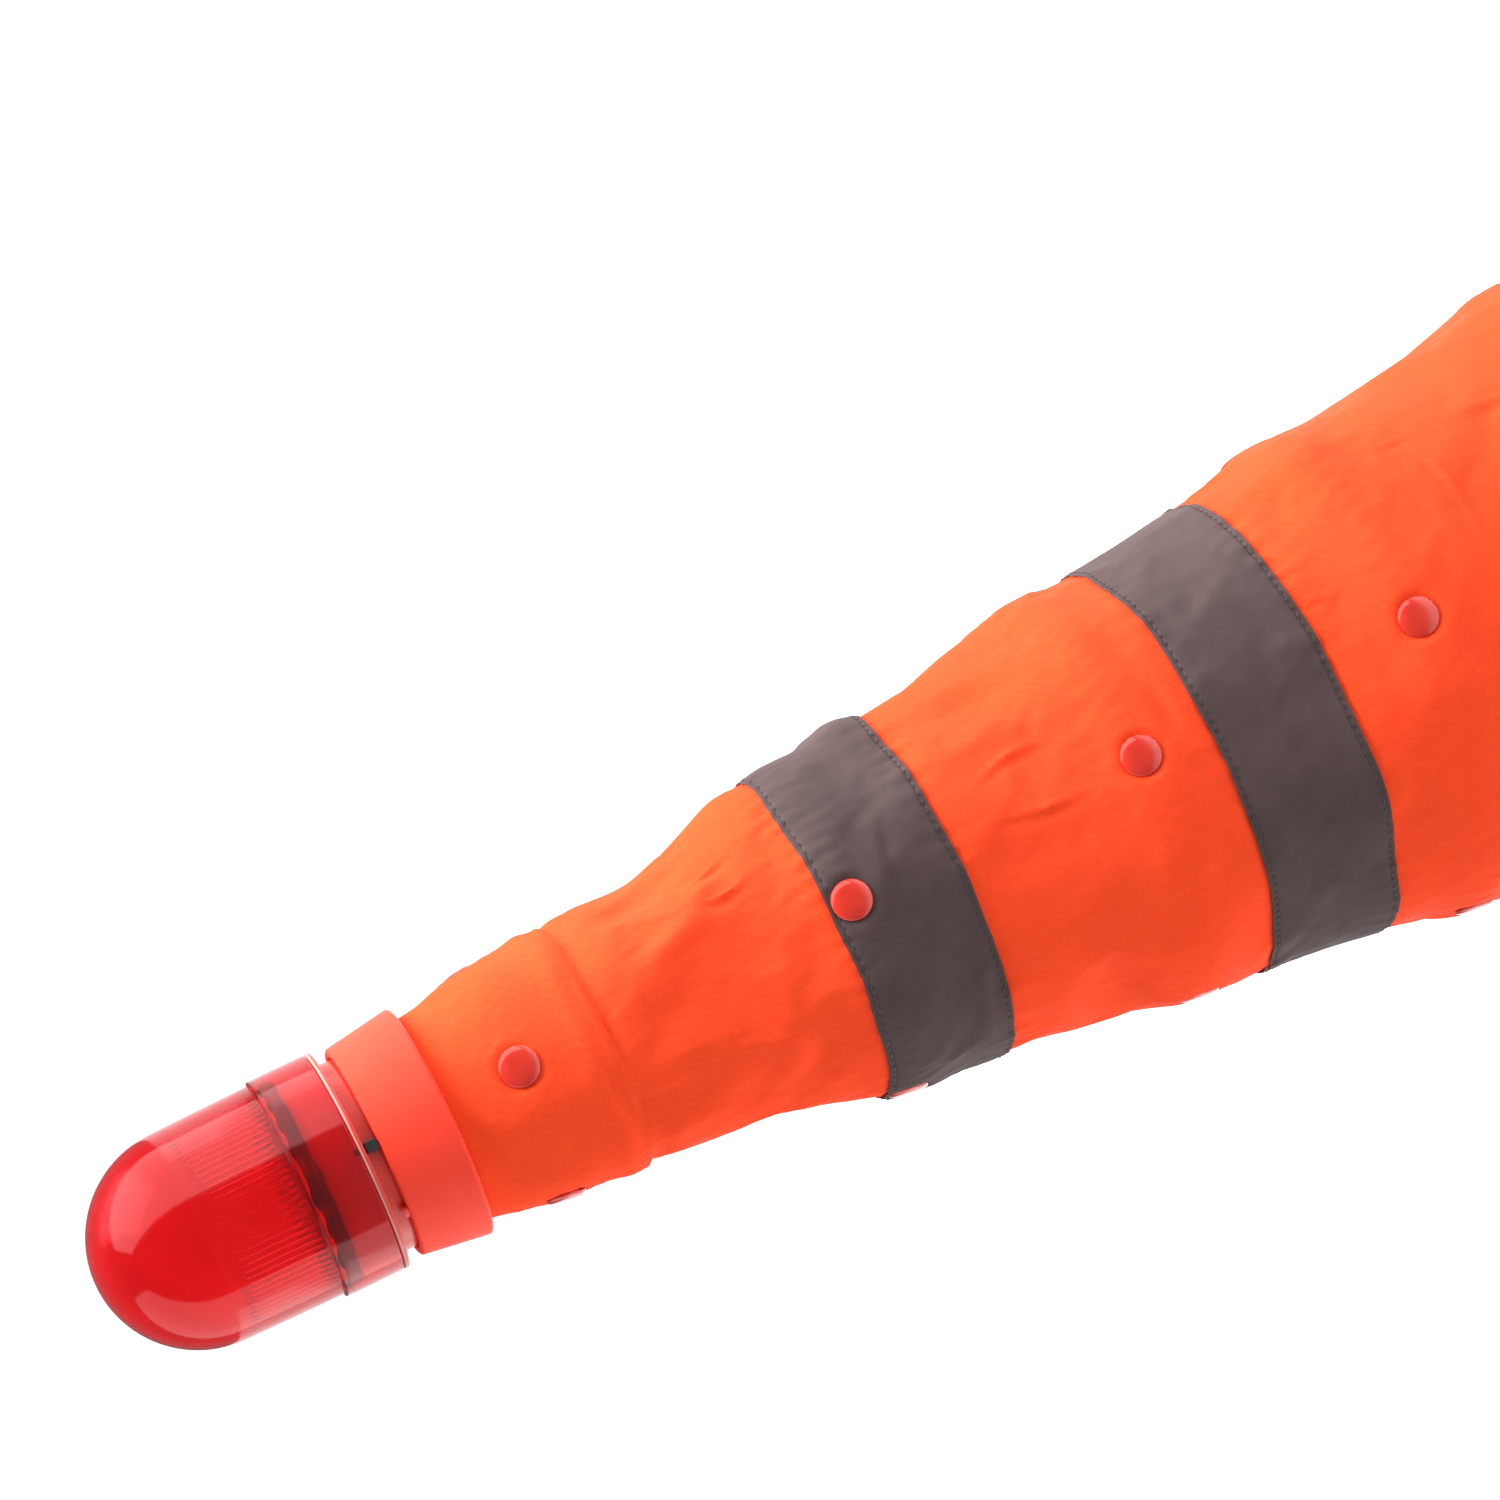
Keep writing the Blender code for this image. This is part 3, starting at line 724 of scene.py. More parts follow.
def cover_surface():
    """Places of the cover's grid, its heights and its turns."""
    heights = cover_rows()
    turns = turns_of(COLUMNS)
    z = heights[:, None]
    radius = cone_radius(z)
    random = np.random.default_rng(SEED)

    def across(turn):
        return radius * turn_gap(turns, turn)[None]

    out = np.zeros((len(heights), COLUMNS))
    moved, coarse = simulate_cover()
    out += SETTLING_SHARE * resample(moved, coarse, heights, COLUMNS)

    # The cloth stands a little proud on each hoop and dips between them.
    rings = [FOLD_HIGH] + HOOP_Z + [FOLD_LOW]
    for upper, lower, dip in zip(rings, rings[1:], (2.3, 1.7, 2.0, 2.2, 2.4, 1.6)):
        share = np.clip((upper - z) / (upper - lower), 0, 1)
        out -= dip * MM * np.sin(np.pi * share) ** 1.5 * (1 + 0.25 * np.cos(4 * (turns + 1.4))[None])
    for ring in HOOP_Z:
        out += 2.0 * MM * bell(z - ring, 11 * MM)
    out += 1.8 * MM * bell(z - SLEEVE_RIVET_Z, 12 * MM)
    sway = 1.2 * MM * np.sin(3 * turns + 0.5)[None] + 0.6 * MM * np.sin(7 * turns + 1.9)[None]
    out += 1.2 * MM * bell(z - FOLD_HIGH - 2.5 * MM - sway, 4.5 * MM)
    out -= 1.3 * MM * bell(z - FOLD_HIGH + 3 * MM - sway, 4 * MM)

    # Slow lumps all over.
    for _ in range(40):
        waves = random.integers(1, 9)
        climb = random.normal(0, 55)
        size = 0.22 * MM * random.random()
        out += size * np.cos(waves * turns[None] + climb * z + random.random() * 2 * math.pi)

    # Creases fan out from the rivets and lie across the bays between the hoops.
    for ring in RING_Z:
        for turn in RIVET_TURNS:
            for _ in range(5):
                angle = random.choice([-1, 1]) * random.uniform(0.35, 1.35)
                step = random.choice([-1, 1]) * random.uniform(12, 26) * MM
                place = ring + step * math.sin(abs(angle)) * random.choice([-1, 1])
                aside = turn + step * math.cos(angle) / cone_radius(ring)
                size = random.uniform(0.2, 0.7) * MM
                if -150 < math.degrees(turn) < -10:
                    size *= 0.4
                width = random.uniform(1.4, 3.4) * MM
                length = random.uniform(9, 24) * MM
                bend = random.uniform(-0.5, 0.5)
                out += crease(across, z, aside, place, angle, length, width, size, bend)
    for turn, place, slant, length, width, rise, bend in FRONT_CREASES:
        pinch = [length * MM, width * MM, 1.15 * rise * MM, bend]
        out += crease(across, z, math.radians(turn), place, math.radians(slant), *pinch)
    for turn, place, slant, length, width, rise in FRONT_SWELLS:
        run, aside = slanted(across(math.radians(turn)), z - place, math.radians(slant))
        out += 1.3 * rise * MM * bell(run, length * MM) * bell(aside, width * MM)

    # Puckers along each sewn edge of the tape.
    for band in BANDS:
        for edge in (low(band).z, high(band).z):
            wave = np.zeros(COLUMNS)
            for _ in range(14):
                count = random.integers(20, 64)
                wave += random.uniform(0.3, 1) * np.cos(count * turns + random.random() * 2 * math.pi)
            wave /= np.abs(wave).max()
            out += 0.42 * MM * wave[None] * np.exp(-np.abs(z - edge) / (5 * MM))
            out -= 0.30 * MM * bell(z - edge, 2.2 * MM)

    # The closing seam up the back is a felled ridge.
    seam = np.abs(across(SEAM_TURN))
    out += 0.5 * MM * np.clip((4.2 * MM - seam) / (0.7 * MM), 0, 1)

    # Limits: no cloth inside the hoops or the sleeve, flat under the rivets, clamped at both ends.
    floor = np.full_like(z, -6 * MM)
    for ring in HOOP_Z:
        floor = np.maximum(floor, np.where(np.abs(z - ring) < 5 * MM, -0.4 * MM, -6 * MM))
    floor = np.where(z > FOLD_HIGH - 3 * MM, -0.4 * MM, floor)
    soft = 0.5 * MM
    out = floor + soft * np.log1p(np.exp(np.clip((out - floor) / soft, -30, 30)))
    ease = np.clip((COLLAR_LOW - 1 * MM - z) / (9 * MM), 0, 1) * np.clip((z - FOLD_LOW) / (6 * MM), 0, 1)
    out *= soft_step(ease)
    for ring in RING_Z:
        for turn in RIVET_TURNS:
            reach = np.hypot(z - ring, across(turn))
            hold = np.clip((8.5 * MM - reach) / (4 * MM), 0, 1)
            out *= 1 - soft_step(hold)

    place_r = radius + out
    slide = 0.25 * MM * np.sin(9 * turns + 70 * z) * ease
    slid = z + slide * (np.abs(z - FOLD_HIGH) > 8 * MM)
    return np.stack([place_r * np.cos(turns), place_r * np.sin(turns), slid], -1), heights, turns


def normals_of(grid):
    """Outward unit normals of a grid that closes round its columns."""
    round_way = np.roll(grid, -1, 1) - np.roll(grid, 1, 1)
    up = np.gradient(grid, axis=0)
    return unit(np.cross(round_way, up))


def cut_places(heights, turns):
    """Places on the flat cut of a cone: the cloth unrolled about its tip."""
    along = cone_radius(heights) / CONE_SHARE
    swing = turn_gap(turns, math.radians(-90)) * CONE_SHARE
    return np.stack([along[:, None] * np.sin(swing), along[:, None] * np.cos(swing)], -1)


def cloth_piece(name, grid, heights, turns, look, body, node, thickness, outset=0.0):
    """A thin closed sheet from a grid, in a node's place. Its flat-cut places are its UV map."""
    normal = normals_of(grid)
    layers = [grid + normal * outset, grid + normal * (outset - thickness)]
    rows, columns = grid.shape[:2]
    outer = grid_faces(rows, columns)
    inner = outer[:, ::-1] + rows * columns
    faces = [outer, inner]
    for row, flip in ((0, True), (rows - 1, False)):
        a = np.arange(columns) + row * columns
        b = np.roll(a, -1)
        rim = np.stack([a, b, b + rows * columns, a + rows * columns], -1)
        faces.append(rim[:, ::-1] if flip else rim)
    faces = np.concatenate(faces)
    mesh = mesh_from(name, np.stack(layers), faces.tolist())
    flat = np.tile(cut_places(heights, turns).reshape(-1, 2), (2, 1))
    corners = np.zeros(len(mesh.loops), np.int64)
    mesh.loops.foreach_get("vertex_index", corners)
    uv = flat[corners].reshape(-1, 4, 2)
    mesh.uv_layers.new(name="cut").data.foreach_set("uv", uv.reshape(-1).astype(np.float32))
    mesh.set_sharp_from_angle(angle=math.radians(60))
    return link_piece(name, mesh, look, body, stands_for=node)


def read_grid(grid, heights, z, turn):
    """The place on the grid at height z and angle turn."""
    row = np.interp(z, heights, np.arange(len(heights)))
    column = (turn / (2 * np.pi) * COLUMNS) % COLUMNS
    r0 = np.clip(np.floor(row).astype(int), 0, len(heights) - 2)
    c0 = np.floor(column).astype(int) % COLUMNS
    c1 = (c0 + 1) % COLUMNS
    tr = (row - r0)[..., None]
    tc = (column - np.floor(column))[..., None]
    upper = grid[r0 + 1, c0] * (1 - tc) + grid[r0 + 1, c1] * tc
    lower = grid[r0, c0] * (1 - tc) + grid[r0, c1] * tc
    return lower * (1 - tr) + upper * tr


def stitches(name, starts, ends, surface, lift, look):
    """Short thread loops on the cover. starts and ends are rows of (height, turn)."""
    grid, normal, heights = surface
    thread_r = 0.2 * MM
    sides = 6
    parts = 6
    share = np.linspace(0, 1, parts)
    line = starts[:, None] * (1 - share)[None, :, None] + ends[:, None] * share[None, :, None]
    places = read_grid(grid, heights, line[..., 0], line[..., 1])
    out = read_grid(normal, heights, line[..., 0], line[..., 1])
    arch = (np.sin(np.pi * share) ** 0.6 * 1.7 - 0.9) * thread_r
    places = places + out * (lift + arch)[None, :, None]
    fat = thread_r * (0.35 + 0.65 * np.sin(np.pi * share) ** 0.5)[None, :, None]
    points = wire_points(places, out, fat, sides)
    tube = grid_faces(parts, sides)
    faces = []
    for number in range(len(starts)):
        shift = number * parts * sides
        faces += (tube + shift).tolist()
        faces += [[i + shift for i in cap] for cap in end_caps(parts, sides)]
    return fold_with_cone(link_piece(name, mesh_from(name, points, faces), look, "base"))


def ring_of_stitches(z, pitch, length):
    """Starts and ends of the stitches round the cone at height z."""
    count = int(2 * math.pi * cone_radius(z) / pitch)
    first = turns_of(count)
    reach = length / cone_radius(z)
    heights = np.full(count, z)
    return np.stack([heights, first], -1), np.stack([heights, first + reach], -1)


def fold_with_cone(piece):
    """Gives the piece its own copy of its mesh. Folded cloth lies on the hoops, a little above their
    middles.
    """
    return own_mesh(piece)


def make_cover():
    grid, heights, turns = cover_surface()
    surface = (grid, normals_of(grid), heights)
    cloth = 0.35 * MM
    split = int(np.argmin(np.abs(heights - FOLD_HIGH)))

    seam_rows = np.arange(FOLD_LOW + 4 * MM, FOLD_HIGH - 4 * MM, 3.2 * MM)
    for number, side in enumerate((-1, 1), 1):
        turn = SEAM_TURN + side * 3.2 * MM / cone_radius(seam_rows)
        starts = np.stack([seam_rows, turn], -1)
        ends = np.stack([seam_rows + 2.3 * MM, turn], -1)
        name = f"seam_stitches_{number}"
        stitches(name, starts, ends, surface, 0.05 * MM, "orange_thread")

    lower = (grid[: split + 1], heights[: split + 1])
    cover = cloth_piece("cover_cloth", *lower, turns, "orange_cloth", "base", "cone_cover", cloth)
    fold_with_cone(cover)

    upper = (grid[split:], heights[split:])
    top = cloth_piece("cover_top_cloth", *upper, turns, "orange_cloth", "tip", "cover_top", cloth)

    for band in BANDS:
        make_band(band, surface, turns)


def make_band(band, surface, turns):
    """Tape over the cloth, with a row of stitches near each edge."""
    grid, _, heights = surface
    lift = 0.75 * MM
    inside = (heights > low(band).z - 0.01 * MM) & (heights < high(band).z + 0.01 * MM)
    for number, z in enumerate(stitch_rows(band), 1):
        starts, ends = ring_of_stitches(z, 2.9 * MM, 1.9 * MM)
        name = f"{band}_stitches_{number}"
        stitches(name, starts, ends, surface, lift, "grey_thread")
    taped = (grid[inside], heights[inside])
    tape = cloth_piece(f"{band}_tape", *taped, turns, "grey_tape", "base", band, 0.4 * MM, lift)
    fold_with_cone(tape)


# ---------------------------------------------------------------- rivets, hoops and spring


def rivet_mesh(seat):
    """A rivet on +Z: a flat dome with a round rim, its shank and its flared tail."""
    head_r = 5.85 * MM
    height = 1.6 * MM
    rim = 0.35 * MM
    flatness = 3.2
    dome_steps = 14
    shank_r = 1.9 * MM
    tail_r = 3.0 * MM
    wall = 4.3 * MM
    profile = [(0, seat + height)]
    for i in range(1, dome_steps + 1):
        r = head_r * math.sin(math.pi / 2 * i / dome_steps)
        profile.append((r, seat + rim + (height - rim) * (1 - (r / head_r) ** flatness) ** 0.5))
    profile += [(head_r, seat + 0.15 * MM), (head_r - 0.2 * MM, seat), (shank_r, seat), (shank_r, -wall)]
    profile += [(tail_r, -wall), (tail_r, -wall - 0.6 * MM), (tail_r - 0.4 * MM, -wall - 0.8 * MM)]
    profile.append((0, -wall - 0.8 * MM))
    return turned("rivet", profile, 48, 50)


def make_rivets():
    plain = rivet_mesh(0.35 * MM)
    taped = rivet_mesh(1.0 * MM)
    rings = [("sleeve", "tip")] + [(f"hoop_{k}", f"hoop_{k}_set") for k in range(1, 6)]
    lean = Vector((1, 0, SLOPE)).normalized()
    for prefix, body in rings:
        for number, turn in enumerate(RIVET_TURNS, 1):
            node = f"{prefix}_rivet_{number}"
            middle = (low(node) + high(node)) / 2
            under_tape = any(low(b).z < middle.z < high(b).z for b in BANDS)
            outward = Matrix.Rotation(turn, 3, "Z") @ lean
            spin = outward.to_track_quat("Z", "Y").to_euler()
            radius = cone_radius(middle.z)
            place = (radius * math.cos(turn), radius * math.sin(turn), middle.z)
            mesh = (taped if under_tape else plain).copy()
            link_piece(f"{node}_button", mesh, "coral_plastic", body, node, place, spin)


def make_spring():
    """The conical coil spring, as a round wire with closed end turns."""
    wire_r = 1.1 * MM
    low_z = low("lift_spring").z + wire_r
    high_z = high("lift_spring").z - wire_r
    turns_count = 8
    sides = 10
    steps = turns_count * 40
    share = np.linspace(0, 1, steps + 1)
    z = low_z + (high_z - low_z) * share
    turn = 2 * np.pi * turns_count * share
    radius = cone_radius(z) - 7.5 * MM
    centre = np.stack([radius * np.cos(turn), radius * np.sin(turn), z], -1)
    points = wire_points(centre, [0, 0, 1.0], wire_r, sides)
    faces = grid_faces(steps + 1, sides).tolist() + end_caps(steps + 1, sides)
    mesh = mesh_from("spring_wire", points, faces)
    face_outward(mesh)
    piece = link_piece("spring_wire", mesh, "spring_steel", "base", stands_for="lift_spring")
    fold_with_cone(piece)


# ---------------------------------------------------------------- collar and lamp


def make_collar():
    """The tapered orange ring with its soft lower edge, flat top and socket, and the small lug."""
    bottom_r = high("collar").x
    top_r = 31.5 * MM
    socket_r = 29.0 * MM
    shelf_r = 22.0 * MM
    top_z = 0.6161
    shelf_z = 0.6035
    under_z = 0.6003
    corners = [
        (31.6 * MM, COLLAR_LOW + 0.3 * MM),
        (33.2 * MM, COLLAR_LOW),
        (bottom_r, COLLAR_LOW + 0.9 * MM),
        (top_r, top_z - 0.5 * MM),
        (top_r - 0.8 * MM, top_z),
        (socket_r + 0.4 * MM, top_z),
        (socket_r, top_z - 0.4 * MM),
        (socket_r, shelf_z),
        (shelf_r, shelf_z),
        (shelf_r, under_z),
        (31.0 * MM, under_z),
    ]
    mesh = turned("collar_ring", rounded(corners, 0.9 * MM, 5), 160, 40)
    link_piece("collar_ring", mesh, "orange_plastic", "tip", stands_for="collar")

    turn = math.radians(-124)
    lug_r = 30.2 * MM
    lug_mesh = rounded_block("collar_lug", Vector((0.8, 1.5, 0.85)) * MM, 0.3 * MM)
    place = (lug_r * math.cos(turn), lug_r * math.sin(turn), top_z + 0.75 * MM)
    link_piece("collar_lug", lug_mesh, "red_lug", "tip", place=place, spin=(0, 0, turn))


def rounded_block(name, half, edge):
    bm = bmesh.new()
    bmesh.ops.create_cube(bm, size=2.0, matrix=Matrix.Diagonal((*half, 1)))
    bmesh.ops.bevel(bm, geom=bm.edges[:], offset=edge, segments=4, profile=0.5, affect="EDGES")
    mesh = bpy.data.meshes.new(name)
    bm.to_mesh(mesh)
    bm.free()
    mesh.shade_smooth()
    return mesh


def make_lamp_base():
    """The lamp's plate with its bright rim, and the spigot that sits in the collar."""
    bottom = low("lamp_base")
    top = high("lamp_base")
    rim_r = top.x
    low_z = top.z - 1.5 * MM
    spigot_r = 28.5 * MM
    inner_r = 26.5 * MM
    corners = [
        (0, top.z),
        (rim_r, top.z),
        (rim_r, low_z),
        (spigot_r, low_z),
        (spigot_r - 0.4 * MM, bottom.z),
        (inner_r - 0.4 * MM, bottom.z),
        (inner_r, low_z),
        (0, low_z),
    ]
    mesh = turned("lamp_plate", rounded(corners, 0.45 * MM, 4), 160, 40)
    link_piece("lamp_plate", mesh, "pale_plastic", "lamp", stands_for="lamp_base")


def make_lens():
    """The domed lens. Its inside has fine upright ribs that fade out into the dome."""
    bottom = low("lens")
    top = high("lens")
    rim_r = top.x
    dome_r = 31.2 * MM
    centre_z = top.z - dome_r
    step_z = bottom.z + 17.3 * MM
    wall = 1.6 * MM
    wall_r = dome_r + 0.5 * MM
    skirt_inner = rim_r - wall - 0.2 * MM
    ribs = 96
    rib_depth = 0.42 * MM
    count = 960
    turns = turns_of(count)

    def dome(radius, angles):
        return [(radius * math.cos(a), centre_z + radius * math.sin(a)) for a in np.radians(angles)]

    outer = dome(dome_r, np.arange(87, -1, -3))
    outer += rounded(
        [
            (dome_r + 0.25 * MM, (centre_z + step_z) / 2 + 4 * MM),
            (wall_r, step_z + 0.3 * MM),
            (rim_r - 0.1 * MM, step_z),
            (rim_r, step_z - 6 * MM),
            (rim_r, bottom.z + 0.2 * MM),
            (rim_r - 0.5 * MM, bottom.z),
            (skirt_inner, bottom.z + 0.1 * MM),
        ],
        0.35 * MM, 4,
    )  # fmt: skip
    inner_low = [(skirt_inner, bottom.z + 0.5 * MM), (skirt_inner, step_z - wall - 0.4 * MM)]
    inner_low += [(skirt_inner - 0.5 * MM, step_z - wall), (wall_r - wall, step_z - wall + 0.6 * MM)]
    rib_low = step_z + 0.6 * MM
    rib_high = centre_z - 2 * MM
    rises = np.linspace(0, 1, 15)
    inner_ribbed = [(wall_r - wall - 0.3 * MM * t, rib_low + (rib_high - rib_low) * t) for t in rises]
    inner_dome_r = dome_r - wall
    inner_dome = dome(inner_dome_r, np.arange(0, 88, 3))
    profile = outer + inner_low + inner_ribbed + inner_dome

    points = []
    for r, z in profile:
        share = 0.0
        if (r, z) in inner_ribbed:
            fade = min((z - rib_low) / (2 * MM), (rib_high - z) / (4 * MM), 1)
            share = max(fade, 0)
        ripple = rib_depth * share * np.abs(np.cos(ribs / 2 * turns))
        ring = [(r - ripple) * np.cos(turns), (r - ripple) * np.sin(turns), np.full(count, z)]
        points.append(np.stack(ring, -1))
    faces = grid_faces(len(profile), count).tolist()
    poles = [(0, 0, top.z), (0, 0, centre_z + inner_dome_r)]
    places = np.concatenate([np.array(points).reshape(-1, 3), poles])
    last = (len(profile) - 1) * count
    outer_pole = len(profile) * count
    for i in range(count):
        j = (i + 1) % count
        faces.append([outer_pole, j, i])
        faces.append([outer_pole + 1, last + i, last + j])
    mesh = soft_solid("lens_shell", places, faces)
    link_piece("lens_shell", mesh, "red_lens", "lens_cap", stands_for="lens")


def make_gasket():
    """The dark sealing ring behind the lens's step, pressed a little unevenly."""
    bottom = low("lens_gasket")
    top = high("lens_gasket")
    count = 240
    sides = 12
    random = np.random.default_rng(SEED + 1)
    turns = turns_of(count)
    sway = sum(random.uniform(0.2, 1) * np.cos(k * turns + random.random() * 6) for k in range(3, 26))
    sway /= np.abs(sway).max()
    height = 2.3 * MM + 0.5 * MM * sway
    middle = (top.z + bottom.z) / 2 - 0.3 * MM + 0.4 * MM * np.roll(sway, 40)
    radius = 30.2 * MM
    rings = []
    for t in turns_of(sides):
        r = radius + 0.6 * MM * math.cos(t)
        rings.append(np.stack([r * np.cos(turns), r * np.sin(turns), middle + height * math.sin(t)], -1))
    faces = grid_faces(sides, count, close_rows=True).tolist()
    mesh = mesh_from("sealing_ring", np.stack(rings), faces)
    face_outward(mesh)
    link_piece("sealing_ring", mesh, "sealing_rubber", "lens_cap", "lens_gasket")


# ---------------------------------------------------------------- base


def rounded_square(half, corner, z, count):
    """Points round a square with round corners, spaced evenly along its outline."""
    side = half - corner
    points = []
    per_side = count // 8
    for quarter in range(4):
        spin = Matrix.Rotation(quarter * math.pi / 2, 2)
        for i in range(per_side):
            y = -side + 2 * side * i / per_side
            points.append(spin @ Vector((half, y)))
        for i in range(per_side):
            a = math.pi / 2 * i / per_side
            points.append(spin @ Vector((side + corner * math.cos(a), side + corner * math.sin(a))))
    return [(p.x, p.y, z) for p in points]


def circle_for(square, radius, z):
    """Points on a circle, each on the same turn as a point of the square."""
    turns = [math.atan2(y, x) for x, y, _ in square]
    return [(radius * math.cos(t), radius * math.sin(t), z) for t in turns]


def quarter_turn(steps):
    """Sines and cosines on the way through a quarter turn."""
    angles = [math.pi / 2 * i / steps for i in range(steps + 1)]
    return [(math.sin(a), math.cos(a)) for a in angles]


def make_tray():
    """The base's moulded shell, with soft edges, a step round the recess and a shallow groove round the top.
    """
    bottom = low("base_tray")
    top = high("base_tray")
    half = top.x
    count = 192
    floor_z = 10.0 * MM
    recess_r = 118.2 * MM
    top_half = half - 4 * MM
    wide = rounded_square(half, 36 * MM, 0, count)
    loops = [
        circle_for(wide, 20 * MM, floor_z),
        circle_for(wide, recess_r - 6 * MM, floor_z),
    ]
    for sine, cosine in quarter_turn(5):
        r = recess_r - 1.5 * MM + 1.5 * MM * sine
        loops.append(circle_for(wide, r, floor_z + 1.5 * MM - 1.5 * MM * cosine))
    loops.append(circle_for(wide, recess_r + 0.4 * MM, top.z - 1.6 * MM))
    for sine, cosine in quarter_turn(5):
        r = recess_r + 2.0 * MM - 1.6 * MM * cosine
        loops.append(circle_for(wide, r, top.z - 1.6 * MM + 1.6 * MM * sine))
    steps = [
        (top_half - 9.0 * MM, 27 * MM, 0.0), (top_half - 8.4 * MM, 27.6 * MM, -0.9 * MM),
        (top_half - 6.6 * MM, 29.4 * MM, -0.9 * MM), (top_half - 6.0 * MM, 30 * MM, 0.0),
    ]  # fmt: skip
    for size, corner, drop in steps:
        loops.append(rounded_square(size, corner, top.z + drop, count))
    for sine, cosine in quarter_turn(6):
        size = top_half - 2.5 * MM + 2.5 * MM * sine
        loops.append(rounded_square(size, 32 * MM, top.z - 2.5 * MM + 2.5 * MM * cosine, count))
    loops.append(rounded_square(half - 0.1 * MM, 36 * MM, bottom.z + 0.6 * MM, count))
    loops.append(rounded_square(half - 0.5 * MM, 35.6 * MM, bottom.z, count))
    loops.append(rounded_square(half - 2.5 * MM, 33.5 * MM, bottom.z, count))
    loops.append(rounded_square(top_half - 2.5 * MM, 29.5 * MM, top.z - 2.5 * MM, count))
    loops.append(circle_for(wide, recess_r + 2.8 * MM, top.z - 2.5 * MM))
    loops.append(circle_for(wide, recess_r + 2.3 * MM, 7.3 * MM))
    loops.append(circle_for(wide, 20 * MM, 7.3 * MM))
    link_piece("tray_shell", lofted("tray_shell", loops), "black_plastic", "base", stands_for="base_tray")


def make_plate():
    """The plate under the tray, with soft edges and a shallow groove round its underside."""
    bottom = low("base_plate")
    top = high("base_plate")
    half = top.x
    count = 192
    shape = [
        (half - 30 * MM, 10 * MM, top.z), (half - 0.4 * MM, 33 * MM, top.z),
        (half, 33.4 * MM, top.z - 0.4 * MM), (half, 33.4 * MM, bottom.z + 0.4 * MM),
        (half - 0.4 * MM, 33 * MM, bottom.z),
        (half - 5 * MM, 28.4 * MM, bottom.z), (half - 5.6 * MM, 27.8 * MM, bottom.z + 0.7 * MM),
        (half - 8 * MM, 25.4 * MM, bottom.z + 0.7 * MM), (half - 8.6 * MM, 24.8 * MM, bottom.z),
        (half - 30 * MM, 10 * MM, bottom.z),
    ]  # fmt: skip
    loops = [rounded_square(size, corner, z, count) for size, corner, z in shape]
    link_piece("plate_under", lofted("plate_under", loops), "black_plastic", "base", stands_for="base_plate")


# ---------------------------------------------------------------- kept nodes, stage, light and camera


KEPT = {
    "hoop_": "white_nylon", "sleeve": "orange_plastic", "cover_ring": "orange_plastic",
    "base_foot": "black_rubber", "base_screw": "spring_steel", "switch_slider": "black_plastic",
    "battery_case": "case_plastic", "cell_": "cell_wrap", "led_board": "circuit_green", "led_": "led_clear",
}  # fmt: skip


def dress_kept_nodes():
    for name, node in nodes.items():
        if node.hide_render:
            continue
        look = next(look for start, look in KEPT.items() if name.startswith(start))
        node.data.materials.clear()
        node.data.materials.append(LOOKS[look])


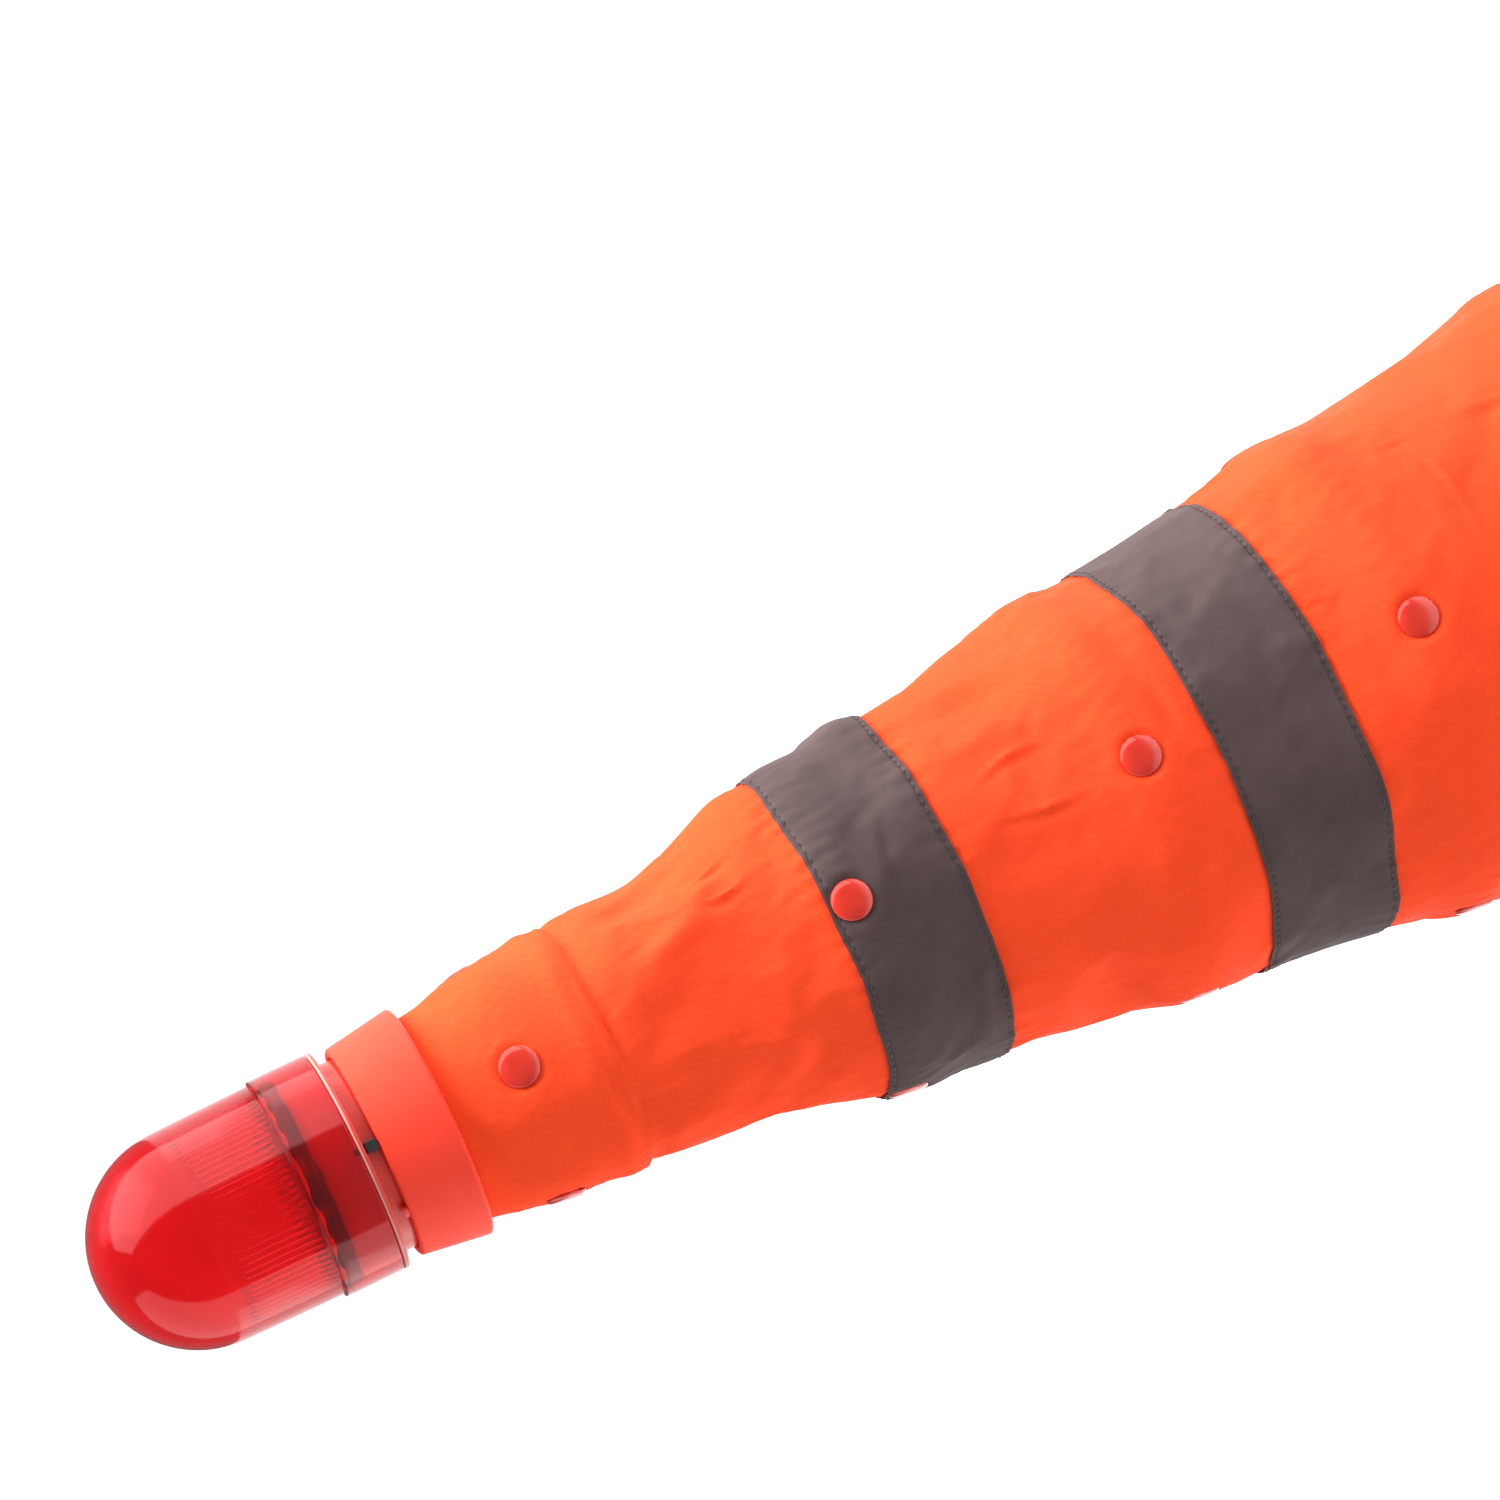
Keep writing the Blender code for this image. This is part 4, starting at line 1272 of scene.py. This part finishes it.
def make_stage():
    size = 200.0
    corners = [(-size, -size, 0), (size, -size, 0), (size, size, 0), (-size, size, 0)]
    mesh = mesh_from("floor", corners, [[0, 1, 2, 3]])
    floor = link_piece("floor", mesh, "pale_floor")

    world = bpy.data.worlds.new("studio")
    scene.world = world
    world.use_nodes = True
    tree = world.node_tree
    dim = tree.nodes["Background"]
    bright = tree.nodes.new("ShaderNodeBackground")
    for background, strength in ((dim, 0.2), (bright, 1.05)):
        background.inputs["Color"].default_value = (1, 1, 1, 1)
        background.inputs["Strength"].default_value = strength
    path = tree.nodes.new("ShaderNodeLightPath")
    seen = tree.nodes.new("ShaderNodeMath")
    seen.operation = "MAXIMUM"
    tree.links.new(path.outputs["Is Camera Ray"], seen.inputs[0])
    tree.links.new(path.outputs["Is Transmission Ray"], seen.inputs[1])
    both = tree.nodes.new("ShaderNodeMixShader")
    tree.links.new(seen.outputs[0], both.inputs[0])
    tree.links.new(dim.outputs[0], both.inputs[1])
    tree.links.new(bright.outputs[0], both.inputs[2])
    tree.links.new(both.outputs[0], tree.nodes["World Output"].inputs["Surface"])


def area_light(name, place, target, width, height, power, mirrored=True):
    light = bpy.data.lights.new(name, "AREA")
    light.shape = "RECTANGLE"
    light.size = width
    light.size_y = height
    light.energy = power
    holder = bpy.data.objects.new(name, light)
    holder.visible_glossy = mirrored
    scene.collection.objects.link(holder)
    holder.location = place
    holder.rotation_euler = (Vector(target) - Vector(place)).to_track_quat("-Z", "Y").to_euler()


def make_lights():
    area_light("key", (1.395, -0.155, 3.25), (0.42, 0.07, 3.25), 2.27, 6.0, 75)
    area_light("side_bounce", (-1.55, 0.185, 2.55), (0, 0.185, 2.55), 1.8, 5.0, 31)
    area_light("edge", (0.9, 0.2, 1.5), (0, 0, 0.65), 1.4, 1.0, 64, mirrored=False)
    area_light("fill", (-1.6, -0.7, 1.0), (0, 0, 0.45), 1.6, 1.6, 6, mirrored=False)


def make_camera():
    """Looks down the cone a little from the lamp's end, rolled so that the lamp points down left."""
    distance = 1.3
    target = Vector((0.0567, 0, 0.4712))
    azimuth, elevation, roll = (math.radians(a) for a in (-0.9, 11.3, -115.15))
    level = math.cos(elevation)
    ahead = Vector((math.sin(azimuth) * level, math.cos(azimuth) * level, -math.sin(elevation)))
    right = Vector((math.cos(azimuth), -math.sin(azimuth), 0))
    up = right.cross(ahead)
    rolled_right = math.cos(roll) * right + math.sin(roll) * up
    rolled_up = math.cos(roll) * up - math.sin(roll) * right
    camera = bpy.data.objects.new("camera", bpy.data.cameras.new("camera"))
    scene.collection.objects.link(camera)
    camera.data.lens = 110.1
    camera.data.sensor_width = 36
    camera.data.clip_start = 0.05
    turn = Matrix((rolled_right, rolled_up, -ahead)).transposed().to_4x4()
    camera.matrix_world = Matrix.Translation(target - ahead * distance) @ turn
    scene.camera = camera


make_camera()
make_cover()
make_rivets()
make_spring()
make_collar()
make_lamp_base()
make_lens()
make_gasket()
make_tray()
make_plate()
dress_kept_nodes()
make_stage()
make_lights()
scene.view_settings.view_transform = "Standard"
